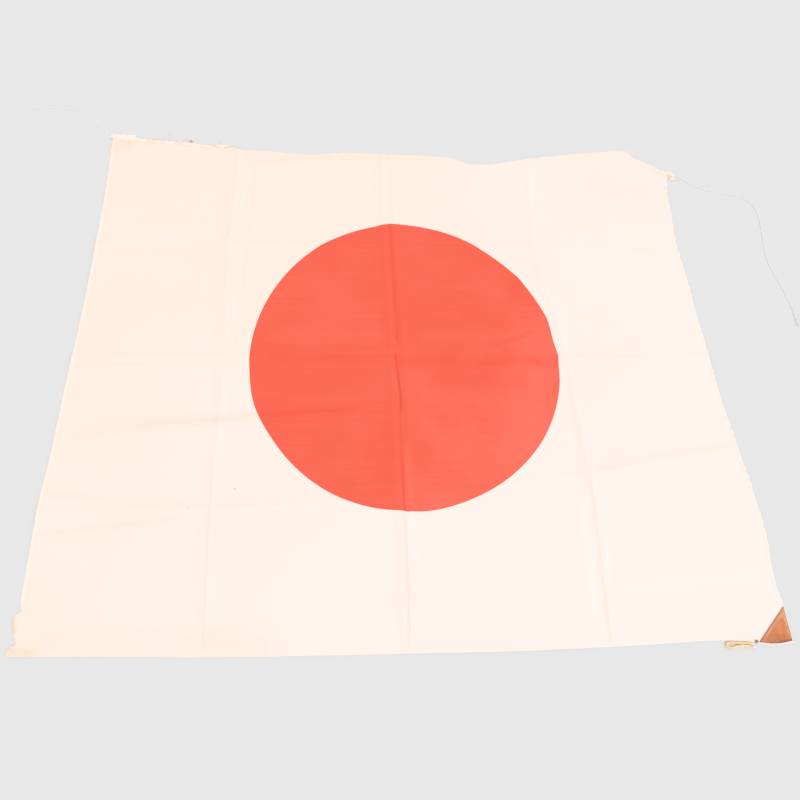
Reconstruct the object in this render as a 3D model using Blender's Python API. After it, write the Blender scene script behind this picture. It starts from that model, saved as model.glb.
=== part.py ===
"""Small cotton flag laid out flat, face up: a dyed red disc on an off-white field.

The frame: +X runs along the flag's length, +Y towards its upper edge and +Z up from the surface it lies on. The
origin is under the middle of the flag's box. Metres, with sizes written in millimetres times MM.
"""
import bisect
import math
import random

import bmesh
import bpy
from mathutils import Vector

MM = 0.001

# The flag's sheet
SHEET_THICK = 1.0 * MM
HEM_EXTRA = 0.5 * MM            # the left hem is turned over once more
HALF_LENGTH = 437.5 * MM        # from the frayed corner to the tip of the torn one
HALF_DEPTH = 363.0 * MM         # from the lower edge under the patch to the longest yarn end
PARTING = 0.3 * MM              # clear gap between neighbouring pieces

# The dyed disc
DISC_CENTRE = (-4.5 * MM, -14.0 * MM)
DISC_RADIUS = 201.0 * MM

# Edges of the cloth in millimetres: (along the edge, how far out it lies there)
LEFT_EDGE = ((-350, -430), (-345, -432), (-340, -430.5), (-336, -424.5), (-330, -427.5), (-323, -431.5),
             (-312, -432.5), (-308, -425.5), (-297, -428.5), (-247, -429.5), (-193, -431.5), (-74, -429.5),
             (64, -426.5), (226, -428.5), (340, -434))
RIGHT_EDGE = ((-361, 412), (-350, 413.5), (-332, 413), (-307, 410.5), (-285, 411), (-264, 414), (-219, 415.5),
              (-146, 412), (-93, 408.5), (-9, 406), (117, 406), (151, 404.5), (204, 408.5), (261, 414.5),
              (290, 420.5))
BOTTOM_EDGE = ((-430, -350), (-316, -353), (-236, -356), (-152, -358), (38, -359), (148, -359), (249, -358),
               (322, -356), (351, -357), (362, -357.6), (371, -360), (382, -363), (399, -363), (412, -361))
TOP_EDGE = ((-434, 340), (-374, 334), (-329, 331), (-254, 325), (-206, 322), (-130, 316), (-84, 321), (-7, 319),
            (86, 314), (100, 306), (132, 303), (180, 312), (246, 324), (329, 334), (362, 337), (375, 323),
            (390, 313), (404, 303), (420.5, 290))

# Pressed creases that quarter the cloth each way, in millimetres: (along the crease, where it lies there)
CREASE_LEFT = ((-356, -231.5), (-161, -239), (-25, -238.5), (170, -247.5), (324, -247.5))
CREASE_MIDDLE = ((-358, -16.5), (-18, -15.5), (196, -20.5), (318, -17.5))
CREASE_RIGHT = ((-358, 204.5), (-252, 215.5), (-173, 213.5), (-33, 210.5), (157, 189.5), (304, 201.5))
CREASE_LOWER = ((-430, -207), (-272, -207), (-16, -195), (213, -172), (352, -145), (415, -140))
CREASE_CENTRE = ((-430, -19), (-240, -21), (250, -19), (410, -20))
CREASE_UPPER = ((-428, 149), (-250, 152), (276, 151), (407, 144))
UP_LINES = (LEFT_EDGE, CREASE_LEFT, CREASE_MIDDLE, CREASE_RIGHT, RIGHT_EDGE)
ACROSS_LINES = (BOTTOM_EDGE, CREASE_LOWER, CREASE_CENTRE, CREASE_UPPER, TOP_EDGE)

# Where the mesh lines run inside a quarter, as shares of its width: closer beside the creases and torn edges
EVEN_QUARTER = (0.04, 0.11, 0.22, 0.36, 0.5, 0.64, 0.78, 0.89, 0.96, 1.0)
TORN_QUARTER = (0.04, 0.11, 0.22, 0.36, 0.5, 0.62, 0.735, 0.79, 0.86, 0.93, 1.0)
TAB_QUARTER = (0.033, 0.065, 0.09, 0.13, 0.18, 0.25, 0.275, 0.35, 0.5, 0.7, 0.85, 0.95, 1.0)

# How high the creases stand, and how far their slopes reach on each side
RIDGES_UP = ((CREASE_LEFT, 2.4 * MM, 20 * MM), (CREASE_RIGHT, 2.5 * MM, 20 * MM))
SHOULDERS_UP = ((CREASE_MIDDLE, 2.0 * MM, 9 * MM, 16 * MM),)      # a valley between two low shoulders
RIDGES_ACROSS = ((CREASE_CENTRE, 2.2 * MM, 18 * MM), (CREASE_UPPER, 1.9 * MM, 18 * MM),
                 (CREASE_LOWER, 1.9 * MM, 18 * MM))
SOFT_FOLD = ((-400, -122), (-364, -114), (-308, -104), (-200, -99), (-160, -90))
SOFT_FOLD_HEIGHT = 3.8 * MM
SOFT_FOLD_REACH = 20 * MM
SOFT_FOLD_ENDS = (-405 * MM, -165 * MM)
BILLOW_HEIGHT = 1.5 * MM        # broad swells of the cloth between its creases
BILLOW_LENGTHS = (310 * MM, 245 * MM)
SINK = 0.9 * MM                 # lower than this the cloth lies down on the surface
HEM_WIDTH = 8 * MM

# Frayed band along the upper left edge
FRAY_ENDS = (-HALF_LENGTH, -252 * MM)
FRAY_BAND = ((-437.5, 9.0), (-404, 10.0), (-396, 4.5), (-350, 4.0), (-318, 5.5), (-300, 3.0), (-252, 2.0))
FRAY_PITCH = 2.9 * MM
FRAY_THICK = 1.0 * MM
YARN_WIDTH = 1.0 * MM
YARN_LENGTHS = (2.5 * MM, 7.0 * MM)
LONG_YARNS = {-354.0 * MM: HALF_DEPTH, -346.5 * MM: 358.5 * MM}      # where each starts, and how far up it ends
LONG_YARN_LEAN = 0.08
YARN_LEAN = 0.28

# Corner patch at the lower right: corners in millimetres, and how far its lower side bows out
PATCH_TOP = (411.0, -324.5)
PATCH_TIP = (372.5, -358.8)
PATCH_CORNER = (410.4, -358.4)
PATCH_BOW = 2.0
PATCH_THICK = 1.2 * MM
PATCH_BEVEL = 0.3 * MM

# Scrap left of the upper right patch, in millimetres, with its tip at the end of the flag's length
REMNANT_OUTLINE = ((421.4, 292), (425, 297.5), (431, 296.5), (433, 292.5), (HALF_LENGTH / MM, 291),
                   (434.5, 286.5), (436, 281.5), (430.5, 278.5), (427.5, 283), (421.2, 284.5))
REMNANT_THICK = 1.1 * MM

# Tie loop beside the lower edge: out, round the small eye at its end and back, in millimetres
TIE_WIDTH = 2.2 * MM
TIE_ROUTE = ((367.2, -361.5), (363, -360.4), (358, -359.3), (352, -358.9), (347, -358.7), (343, -358.3),
             (339.5, -358.1), (336, -358.6), (333.9, -360.6), (336, -362.8), (339.5, -363.2), (343, -362.6),
             (347, -361.6), (352, -361.4), (358, -361.9), (363, -362.9), (367.2, -364.0))
TIE_POINTS = 48
KNOT_CENTRE = (369.2, -357.9)
KNOT_SIZE = (3.2, 3.0, 2.2)

# Loose yarns on the surface beside the flag, in millimetres
YARN_THICK = 0.8 * MM
RIGHT_YARN_ROUTE = ((438.4, 288.5), (449, 277), (465, 267), (482, 260), (500, 256), (517, 253), (530, 248),
                    (540, 241), (546, 232), (548, 220), (547, 200), (543, 175), (539, 150), (538, 128),
                    (541, 108), (545, 90), (548, 70), (549, 48), (547.5, 27))
LEFT_YARN_ROUTE = ((-438.5, 350.5), (-447, 353), (-456, 360), (-463, 371), (-470, 383), (-480, 391.5),
                   (-493, 396), (-507, 397.5), (-522, 398), (-538, 398), (-552, 396.5), (-566, 395))
RIGHT_YARN_POINTS = 76
LEFT_YARN_POINTS = 38
YARN_LIFT = 0.45 * MM           # height of a yarn's middle over the surface

COTTON = (0.90, 0.83, 0.74, 1.0)
RED_DYE = (0.86, 0.13, 0.08, 1.0)
FRAY_COLOUR = (0.88, 0.74, 0.55, 1.0)
PATCH_BROWN = (0.32, 0.12, 0.05, 1.0)
SCRAP_RED = (0.80, 0.25, 0.20, 1.0)
TIE_OCHRE = (0.72, 0.45, 0.16, 1.0)
KNOT_BROWN = (0.10, 0.04, 0.02, 1.0)
YARN_PALE = (0.90, 0.82, 0.72, 1.0)
YARN_PINK = (0.88, 0.62, 0.58, 1.0)


def clear_scene():
    for thing in list(bpy.data.objects):
        bpy.data.objects.remove(thing, do_unlink=True)


def plain_material(name, colour, roughness):
    material = bpy.data.materials.new(name)
    material.use_nodes = True
    shader = material.node_tree.nodes["Principled BSDF"]
    shader.inputs["Base Color"].default_value = colour
    shader.inputs["Roughness"].default_value = roughness
    shader.inputs["Metallic"].default_value = 0.0
    return material


def finish_object(name, bm, *materials):
    mesh = bpy.data.meshes.new(name)
    bm.to_mesh(mesh)
    bm.free()
    for material in materials:
        mesh.materials.append(material)
    thing = bpy.data.objects.new(name, mesh)
    bpy.context.scene.collection.objects.link(thing)
    return thing


def line_at(line, along):
    """Where a line in millimetres lies at a place along it, both in metres: straight between its points."""
    along = along / MM
    if along <= line[0][0]:
        return line[0][1] * MM
    if along >= line[-1][0]:
        return line[-1][1] * MM
    after = bisect.bisect_right([point[0] for point in line], along)
    (a0, v0), (a1, v1) = line[after - 1], line[after]
    return (v0 + (v1 - v0) * (along - a0) / (a1 - a0)) * MM


def between(lines, place, along):
    """Like line_at, for a place such as 1.25, a quarter of the way from the second line to the third."""
    first = min(int(place), len(lines) - 2)
    share = place - first
    return (1 - share) * line_at(lines[first], along) + share * line_at(lines[first + 1], along)


def lattice_point(column, row):
    """Where mesh line number column, counted in quarters from the left, crosses row, counted from the bottom."""
    x = 0.0
    y = 0.0
    for _ in range(6):
        y = between(ACROSS_LINES, row, x)
        x = between(UP_LINES, column, y)
    return x, y


def slope(distance, height, reach):
    """A pressed crease's side: steepest at the crest, then easing down to the surface."""
    return height * max(0.0, 1.0 - abs(distance) / reach) ** 2


def fade(value, start, end):
    """Rises smoothly from 0 at start to 1 at end."""
    share = min(1.0, max(0.0, (value - start) / (end - start)))
    return share * share * (3 - 2 * share)


def lift_at(x, y):
    """How high the cloth's underside stands off the surface."""
    up = 0.0
    for line, height, reach in RIDGES_UP:
        up += slope(x - line_at(line, y), height, reach)
    for line, height, offset, reach in SHOULDERS_UP:
        up += slope(abs(x - line_at(line, y)) - offset, height, reach)
    across = 0.0
    for line, height, reach in RIDGES_ACROSS:
        across += slope(y - line_at(line, x), height, reach)
    window = fade(x, SOFT_FOLD_ENDS[0], SOFT_FOLD_ENDS[0] + 60 * MM)
    window *= 1 - fade(x, SOFT_FOLD_ENDS[1] - 50 * MM, SOFT_FOLD_ENDS[1])
    soft = window * slope(y - line_at(SOFT_FOLD, x), SOFT_FOLD_HEIGHT, SOFT_FOLD_REACH)
    wave_x = math.sin(2 * math.pi * (x / BILLOW_LENGTHS[0] + 0.15 * math.sin(9 * y)))
    wave_y = math.sin(2 * math.pi * (y / BILLOW_LENGTHS[1] + 0.3 + 0.12 * math.sin(7 * x)))
    billow = BILLOW_HEIGHT * (1 + wave_x * wave_y) / 2
    corner = math.hypot(x - PATCH_CORNER[0] * MM, y - PATCH_CORNER[1] * MM)
    flat_corner = fade(corner, 55 * MM, 130 * MM)
    return max(0.0, flat_corner * (math.hypot(up, across) + soft + billow) - SINK)


def mesh_lines(quarters):
    """Places of the mesh lines, from the shares that each quarter is cut at."""
    places = [0.0]
    for number, shares in enumerate(quarters):
        places += [number + share for share in shares]
    return places


def make_sheet_faces(bm, columns, rows):
    """A grid with the lattice's lines, which is then laid out in the shape of the cloth's underside."""
    bmesh.ops.create_grid(bm, x_segments=len(columns) - 1, y_segments=len(rows) - 1, size=0.5)
    for vert in bm.verts:
        column = columns[round((vert.co.x + 0.5) * (len(columns) - 1))]
        row = rows[round((vert.co.y + 0.5) * (len(rows) - 1))]
        x, y = lattice_point(column, row)
        vert.co = Vector((x, y, lift_at(x, y)))


def cut_disc(bm):
    """Adds the disc's rim to the faces it crosses and gives the faces inside it the second material."""
    centre = Vector(DISC_CENTRE)
    rim = []
    for edge in list(bm.edges):
        start, end = edge.verts
        near = (start.co.xy - centre).length - DISC_RADIUS
        far = (end.co.xy - centre).length - DISC_RADIUS
        if near * far >= 0:
            continue
        low, high = 0.0, 1.0
        for _ in range(30):
            middle = (low + high) / 2
            point = start.co.lerp(end.co, middle)
            inside = (point.xy - centre).length - DISC_RADIUS
            low, high = (middle, high) if inside * near > 0 else (low, middle)
        share = min(0.98, max(0.02, low))
        rim.append(bmesh.utils.edge_split(edge, start, share)[1])
    bmesh.ops.connect_verts(bm, verts=rim)
    for face in bm.faces:
        if (face.calc_center_median().xy - centre).length < DISC_RADIUS:
            face.material_index = 1


def make_cloth():
    columns = mesh_lines((EVEN_QUARTER, EVEN_QUARTER, EVEN_QUARTER, TORN_QUARTER))
    rows = mesh_lines((TAB_QUARTER, EVEN_QUARTER, EVEN_QUARTER, EVEN_QUARTER))
    bm = bmesh.new()
    make_sheet_faces(bm, columns, rows)
    cut_disc(bm)
    bmesh.ops.triangulate(bm, faces=bm.faces[:])
    raised = bmesh.ops.extrude_face_region(bm, geom=bm.faces[:], use_keep_orig=True)["geom"]
    for vert in raised:
        if isinstance(vert, bmesh.types.BMVert):
            hem = vert.co.x < line_at(LEFT_EDGE, vert.co.y) + HEM_WIDTH
            vert.co.z += SHEET_THICK + (HEM_EXTRA if hem else 0.0)
    bmesh.ops.recalc_face_normals(bm, faces=bm.faces[:])
    cotton = plain_material("cotton_field", COTTON, 0.9)
    dye = plain_material("red_dye", RED_DYE, 0.9)
    return finish_object("cloth", bm, cotton, dye)


def make_frayed_edge():
    """A band of loose weave with yarn ends drawn out of its outer side."""
    chance = random.Random(11)
    bm = bmesh.new()
    count = round((FRAY_ENDS[1] - FRAY_ENDS[0]) / FRAY_PITCH)
    inner = []
    outer = []
    for step in range(count + 1):
        x = FRAY_ENDS[0] + (FRAY_ENDS[1] - FRAY_ENDS[0]) * step / count
        root = line_at(TOP_EDGE, x) + PARTING
        lift = lift_at(x, root)
        wear = 1.0 + 0.25 * chance.uniform(-1, 1) if 0 < step < count else 1.0
        inner.append(bm.verts.new((x, root, lift)))
        outer.append(bm.verts.new((x, root + wear * line_at(FRAY_BAND, x), lift)))
    band = [bm.faces.new((inner[i], inner[i + 1], outer[i + 1], outer[i])) for i in range(count)]
    raised = bmesh.ops.extrude_face_region(bm, geom=band, use_keep_orig=True)["geom"]
    bmesh.ops.translate(bm, vec=(0, 0, FRAY_THICK), verts=[g for g in raised if isinstance(g, bmesh.types.BMVert)])
    bmesh.ops.recalc_face_normals(bm, faces=bm.faces[:])
    long_yarns = dict(LONG_YARNS)
    outside = [face for face in bm.faces if face.normal.y > 0.5 and abs(face.normal.z) < 0.5]
    outside.sort(key=lambda face: face.calc_center_median().x)
    for number, face in enumerate(outside):
        middle = face.calc_center_median()
        wanted = [x for x in long_yarns if abs(middle.x - x) < 0.55 * FRAY_PITCH]
        if not wanted and number % 2 == 0:
            continue
        length = chance.uniform(*YARN_LENGTHS)
        lean = chance.uniform(-YARN_LEAN, YARN_LEAN)
        if wanted:
            length = long_yarns.pop(wanted[0]) - middle.y
            lean = LONG_YARN_LEAN
        draw_yarn(bm, face, length, lean)
    bmesh.ops.triangulate(bm, faces=bm.faces[:])
    bmesh.ops.recalc_face_normals(bm, faces=bm.faces[:])
    return finish_object("frayed_edge", bm, plain_material("frayed_cotton", FRAY_COLOUR, 0.95))


def draw_yarn(bm, face, length, lean):
    """Pulls a four-sided yarn end out of a side face, in two stretches that narrow."""
    for share, width in ((0.45, YARN_WIDTH), (0.55, 0.55 * YARN_WIDTH)):
        face = bmesh.ops.extrude_discrete_faces(bm, faces=[face])["faces"][0]
        middle = face.calc_center_median()
        for vert in face.verts:
            offset = vert.co - middle
            side = math.copysign(width / 2, offset.x)
            vert.co = Vector((middle.x + side, middle.y, vert.co.z))
        bmesh.ops.translate(bm, vec=(lean * share * length, share * length, 0), verts=face.verts[:])
        lean *= 1.6


def flat_piece(name, outline, base, thick, bevel, material):
    """A flat piece with an outline in millimetres, its underside at height base."""
    bm = bmesh.new()
    face = bm.faces.new([bm.verts.new((x * MM, y * MM, base)) for x, y in outline])
    bmesh.ops.recalc_face_normals(bm, faces=[face])
    raised = bmesh.ops.extrude_face_region(bm, geom=[face], use_keep_orig=True)["geom"]
    top = [g for g in raised if isinstance(g, bmesh.types.BMVert)]
    bmesh.ops.translate(bm, vec=(0, 0, thick), verts=top)
    bmesh.ops.recalc_face_normals(bm, faces=bm.faces[:])
    if bevel:
        rim = [edge for edge in bm.edges if all(vert.co.z > base + thick / 2 for vert in edge.verts)]
        bmesh.ops.bevel(bm, geom=rim, offset=bevel, segments=1, profile=0.5, affect="EDGES", material=-1)
    bmesh.ops.triangulate(bm, faces=bm.faces[:])
    return finish_object(name, bm, material)


def make_corner_patch():
    corner = Vector(PATCH_CORNER)
    tip = Vector(PATCH_TIP)
    lower_side = []
    for step in range(1, 6):
        share = step / 6
        point = corner.lerp(tip, share)
        lower_side.append((point.x, point.y - PATCH_BOW * math.sin(math.pi * share)))
    outline = [PATCH_TOP, PATCH_CORNER] + lower_side + [PATCH_TIP]
    base = SHEET_THICK + PARTING
    brown = plain_material("patch_leather", PATCH_BROWN, 0.6)
    return flat_piece("corner_patch", outline, base, PATCH_THICK, PATCH_BEVEL, brown)


def make_patch_remnant():
    red = plain_material("scrap_cotton", SCRAP_RED, 0.9)
    return flat_piece("patch_remnant", REMNANT_OUTLINE, 0.0, REMNANT_THICK, 0.0, red)


def smooth_through(route, count):
    """Evenly spaced points on a smooth curve through the route's own points, all in millimetres."""
    ends = [tuple(2 * a - b for a, b in zip(route[0], route[1]))]
    tail = [tuple(2 * a - b for a, b in zip(route[-1], route[-2]))]
    knots = [Vector(point) for point in ends + list(route) + tail]
    dense = []
    for i in range(1, len(knots) - 2):
        p0, p1, p2, p3 = knots[i - 1:i + 3]
        for step in range(24):
            t = step / 24
            dense.append(0.5 * (2 * p1 + (p2 - p0) * t + (2 * p0 - 5 * p1 + 4 * p2 - p3) * t * t
                                + (3 * p1 - p0 - 3 * p2 + p3) * t ** 3))
    dense.append(knots[-2])
    reached = [0.0]
    for a, b in zip(dense, dense[1:]):
        reached.append(reached[-1] + (b - a).length)
    points = []
    for step in range(count):
        target = reached[-1] * step / (count - 1)
        after = min(max(bisect.bisect_right(reached, target), 1), len(dense) - 1)
        span = reached[after] - reached[after - 1]
        points.append(dense[after - 1].lerp(dense[after], (target - reached[after - 1]) / span))
    return points


def make_cord(name, route, count, width, height, material):
    """A round cord lying on the surface along a route in millimetres."""
    curve = bpy.data.curves.new(name, "CURVE")
    curve.dimensions = "3D"
    curve.bevel_depth = width / 2
    curve.bevel_resolution = 2
    curve.use_fill_caps = True
    curve.resolution_u = 1
    spline = curve.splines.new("POLY")
    spline.points.add(count - 1)
    for point, place in zip(spline.points, smooth_through(route, count)):
        point.co = (place.x * MM, place.y * MM, height, 1.0)
    curve.materials.append(material)
    cord = bpy.data.objects.new(name, curve)
    bpy.context.scene.collection.objects.link(cord)
    return cord


def make_tie():
    ochre = plain_material("tie_cord", TIE_OCHRE, 0.85)
    make_cord("tie_loop", TIE_ROUTE, TIE_POINTS, TIE_WIDTH, TIE_WIDTH / 2 + 0.05 * MM, ochre)
    bm = bmesh.new()
    bmesh.ops.create_icosphere(bm, subdivisions=2, radius=0.5 * MM)
    bmesh.ops.scale(bm, vec=KNOT_SIZE, verts=bm.verts[:])
    height = SHEET_THICK + PARTING + KNOT_SIZE[2] * MM / 2
    bmesh.ops.translate(bm, vec=(KNOT_CENTRE[0] * MM, KNOT_CENTRE[1] * MM, height), verts=bm.verts[:])
    finish_object("tie_knot", bm, plain_material("knot_thread", KNOT_BROWN, 0.8))


def make_loose_threads():
    pale = plain_material("pale_yarn", YARN_PALE, 0.9)
    pink = plain_material("pink_yarn", YARN_PINK, 0.9)
    make_cord("loose_thread_right", RIGHT_YARN_ROUTE, RIGHT_YARN_POINTS, YARN_THICK, YARN_LIFT, pale)
    make_cord("loose_thread_left", LEFT_YARN_ROUTE, LEFT_YARN_POINTS, YARN_THICK, YARN_LIFT, pink)


clear_scene()
make_cloth()
make_frayed_edge()
make_corner_patch()
make_patch_remnant()
make_tie()
make_loose_threads()
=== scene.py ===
"""A small cotton flag, worn and torn, laid out flat with the creases of long storage.

Metres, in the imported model's frame: +X along the flag, +Y towards its upper edge, +Z up from the surface that
it lies on. Outlines, creases and routes are in millimetres, as they would be marked on the cloth.
"""
import math
import random

import bmesh
import bpy
import numpy as np
from mathutils import Matrix, Vector, noise


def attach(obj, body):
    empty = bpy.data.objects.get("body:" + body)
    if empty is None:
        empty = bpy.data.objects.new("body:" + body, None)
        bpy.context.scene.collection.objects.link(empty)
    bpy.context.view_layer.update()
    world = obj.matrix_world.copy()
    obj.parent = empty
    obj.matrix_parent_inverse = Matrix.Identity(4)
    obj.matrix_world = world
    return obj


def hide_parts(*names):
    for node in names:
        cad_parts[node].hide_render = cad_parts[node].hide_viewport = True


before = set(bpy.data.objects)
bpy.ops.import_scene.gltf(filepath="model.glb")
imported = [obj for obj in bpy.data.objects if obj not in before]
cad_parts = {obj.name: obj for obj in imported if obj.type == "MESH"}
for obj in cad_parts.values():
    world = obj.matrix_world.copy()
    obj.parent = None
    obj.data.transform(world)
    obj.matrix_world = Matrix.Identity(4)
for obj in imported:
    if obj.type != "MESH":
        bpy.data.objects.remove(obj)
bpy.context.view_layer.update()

MM = 0.001

# The camera
# It hangs over the flag's lower half, a little left of its middle, and looks down with the upper edge further
# off. The picture's middle is moved a little off the lens's own, as a cropped photograph has it.
CAMERA_PLACE = (-0.0857, -0.2854, 0.6567)
CAMERA_HEADING = math.radians(-8.471)
CAMERA_TILT = math.radians(23.099)
CAMERA_ROLL = math.radians(7.763)
CAMERA_LENS = 24.52
CAMERA_SHIFT = (0.03125, -0.0625)

lens = bpy.data.cameras.new("camera")
lens.sensor_width = 36
lens.lens = CAMERA_LENS
lens.shift_x, lens.shift_y = CAMERA_SHIFT
camera = bpy.data.objects.new("camera", lens)
bpy.context.scene.collection.objects.link(camera)
camera.matrix_world = (Matrix.Translation(CAMERA_PLACE) @ Matrix.Rotation(CAMERA_HEADING, 4, "Z")
                       @ Matrix.Rotation(CAMERA_TILT, 4, "X") @ Matrix.Rotation(CAMERA_ROLL, 4, "Z"))
bpy.context.scene.camera = camera


# The floor and the light
# A plain pale floor under a wide soft light from the lower right, with light from all round that keeps the
# shadows faint, as in a bright studio.
class Paint:
    """A socket of a material. Python's operators on it add Math nodes, and node() adds every other node."""

    def __init__(self, tree, socket=None):
        self.tree = tree
        self.socket = socket

    def node(self, kind, inputs=None, output=0, **settings):
        """A new node: its settings come first, then its sockets' values or links."""
        made = self.tree.nodes.new(kind)
        for name, value in settings.items():
            setattr(made, name, value)
        for key, value in (inputs or {}).items():
            if isinstance(value, Paint):
                self.tree.links.new(value.socket, made.inputs[key])
            else:
                made.inputs[key].default_value = value
        return Paint(self.tree, made.outputs[output])

    def maths(self, operation, *values):
        return self.node("ShaderNodeMath", dict(enumerate(values)), operation=operation)

    def __add__(self, other):
        return self.maths("ADD", self, other)

    def __mul__(self, other):
        return self.maths("MULTIPLY", self, other)

    def __sub__(self, other):
        return self.maths("SUBTRACT", self, other)

    def __rsub__(self, other):
        return self.maths("SUBTRACT", other, self)

    __radd__ = __add__
    __rmul__ = __mul__

    def rise(self, low, high):
        """0 up to low, 1 from high on, and smooth between; the other way round where low is the greater."""
        return self.node("ShaderNodeMapRange", {"Value": self, "From Min": low, "From Max": high},
                         interpolation_type="SMOOTHSTEP")

    def mixed(self, first, second):
        """The first colour where this mask is 0 and the second where it is 1."""
        return self.node("ShaderNodeMix", {0: self, 6: first, 7: second}, output=2, data_type="RGBA")

    def place(self):
        """Where the surface is, in metres."""
        return self.node("ShaderNodeTexCoord", output="Object")

    def part(self, axis):
        """One of a vector's three numbers, by its axis."""
        return self.node("ShaderNodeSeparateXYZ", {0: self}, output=axis)

    def attribute(self, name):
        """A number that the mesh carries at its points."""
        return self.node("ShaderNodeAttribute", output="Fac", attribute_name=name)

    def stretched(self, scale):
        """A place whose pattern repeats this many times a metre along each axis."""
        return self.node("ShaderNodeMapping", {"Vector": self, "Scale": scale})

    def noise(self, scale, detail=2.0, roughness=0.5):
        """Cloudy noise at this place, from 0 to 1."""
        return self.node("ShaderNodeTexNoise", {"Vector": self, "Scale": scale, "Detail": detail,
                                                "Roughness": roughness})

    def bump(self, depth):
        """A normal that takes this height as depth metres of relief."""
        return self.node("ShaderNodeBump", {"Height": self, "Distance": depth, "Strength": 1.0})


def new_material(name):
    """A material and the Paint that its nodes start from."""
    material = bpy.data.materials.new(name)
    material.use_nodes = True
    return material, Paint(material.node_tree)


def set_shader(material, **sockets):
    """Sets the shader's sockets, named with _ for a space, to values or to what a Paint gives."""
    shader = material.node_tree.nodes["Principled BSDF"]
    for name, value in sockets.items():
        socket = shader.inputs[name.replace("_", " ")]
        if isinstance(value, Paint):
            material.node_tree.links.new(value.socket, socket)
        else:
            socket.default_value = value


SHARP_ANGLE = math.radians(50)      # edges that turn more than this are shaded sharp


def add_object(name, bm, material):
    """A finished piece from a bmesh, shaded smooth but for its sharp edges."""
    mesh = bpy.data.meshes.new(name)
    bm.to_mesh(mesh)
    bm.free()
    mesh.materials.append(material)
    mesh.shade_smooth()
    mesh.set_sharp_from_angle(angle=SHARP_ANGLE)
    thing = bpy.data.objects.new(name, mesh)
    bpy.context.scene.collection.objects.link(thing)
    return thing


FLOOR_SIZE = 30.0
FLOOR_DROP = 0.05 * MM     # it stays just clear of what lies on it
FLOOR_GREY = (0.70, 0.70, 0.70, 1.0)
SUN_STRENGTH = 1.1
SUN_WIDTH = math.radians(45)
SUN_FROM = (0.55, -0.35, 1.0)
SKY_STRENGTH = 0.86

floor_paint, _ = new_material("floor_paint")
set_shader(floor_paint, Base_Color=FLOOR_GREY, Roughness=0.9, Specular_IOR_Level=0.0)
bm = bmesh.new()
bmesh.ops.create_grid(bm, x_segments=1, y_segments=1, size=FLOOR_SIZE / 2)
bmesh.ops.translate(bm, vec=(0, 0, -FLOOR_DROP), verts=bm.verts[:])
floor = add_object("floor", bm, floor_paint)

sun = bpy.data.lights.new("soft_light", "SUN")
sun.energy = SUN_STRENGTH
sun.angle = SUN_WIDTH
sun_lamp = bpy.data.objects.new("soft_light", sun)
sun_lamp.rotation_euler = Vector(SUN_FROM).to_track_quat("Z", "Y").to_euler()
bpy.context.scene.collection.objects.link(sun_lamp)

sky = bpy.data.worlds.new("sky")
sky.use_nodes = True
sky.node_tree.nodes["Background"].inputs["Color"].default_value = (1.0, 1.0, 1.0, 1.0)
sky.node_tree.nodes["Background"].inputs["Strength"].default_value = SKY_STRENGTH
bpy.context.scene.world = sky
bpy.context.scene.view_settings.view_transform = "Standard"


# The loose yarns and the tie cord
# Two cotton yarns have worked loose and lie on the surface: a pale one from the torn corner and a pinkish one
# from the frayed corner. The tie is a short length of cord, doubled into a loop and sewn on by the patch.
ROUTE_STEPS = 24            # points on each stretch of a route, before they are spaced evenly
ROUTE_SPACING = 0.4         # and how far apart they are then, in millimetres
OPENED_LENGTH = 22 * MM     # a cord's plies part over this length before its end
OPENED_THINNING = 0.35      # and grow thinner by this share


def smooth_through(route):
    """Evenly spaced points, all in millimetres, on a smooth curve through the route's own points."""
    first = [2 * a - b for a, b in zip(route[0], route[1])]
    last = [2 * a - b for a, b in zip(route[-1], route[-2])]
    knots = [Vector(point) for point in [first, *route, last]]
    dense = []
    for p0, p1, p2, p3 in zip(knots, knots[1:], knots[2:], knots[3:]):
        for step in range(ROUTE_STEPS):
            t = step / ROUTE_STEPS
            dense.append(0.5 * (2 * p1 + (p2 - p0) * t + (2 * p0 - 5 * p1 + 4 * p2 - p3) * t * t
                                + (3 * p1 - p0 - 3 * p2 + p3) * t ** 3))
    dense.append(knots[-2])
    dense = np.array(dense)
    reached = np.concatenate([[0.0], np.cumsum(np.linalg.norm(np.diff(dense, axis=0), axis=1))])
    wanted = np.linspace(0, reached[-1], round(reached[-1] / ROUTE_SPACING) + 1)
    return [Vector((np.interp(s, reached, dense[:, 0]), np.interp(s, reached, dense[:, 1]))) for s in wanted]


def strands_object(name, strands, thick, material, roundness=1):
    """Round strands joined into one mesh. A strand lists places in metres with shares of the thickness."""
    curve = bpy.data.curves.new(name, "CURVE")
    curve.dimensions = "3D"
    curve.bevel_depth = thick / 2
    curve.bevel_resolution = roundness
    curve.use_fill_caps = True
    curve.resolution_u = 1
    for strand in strands:
        spline = curve.splines.new("POLY")
        spline.points.add(len(strand) - 1)
        for point, (place, share) in zip(spline.points, strand):
            point.co = (*place, 1.0)
            point.radius = share
    guide = bpy.data.objects.new(name + "_guide", curve)
    bpy.context.scene.collection.objects.link(guide)
    bpy.context.view_layer.update()
    drawn = guide.evaluated_get(bpy.context.evaluated_depsgraph_get())
    bm = bmesh.new()
    bm.from_mesh(drawn.to_mesh())
    drawn.to_mesh_clear()
    bpy.data.objects.remove(guide)
    bmesh.ops.remove_doubles(bm, verts=bm.verts[:], dist=0.001 * MM)
    return add_object(name, bm, material)


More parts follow.
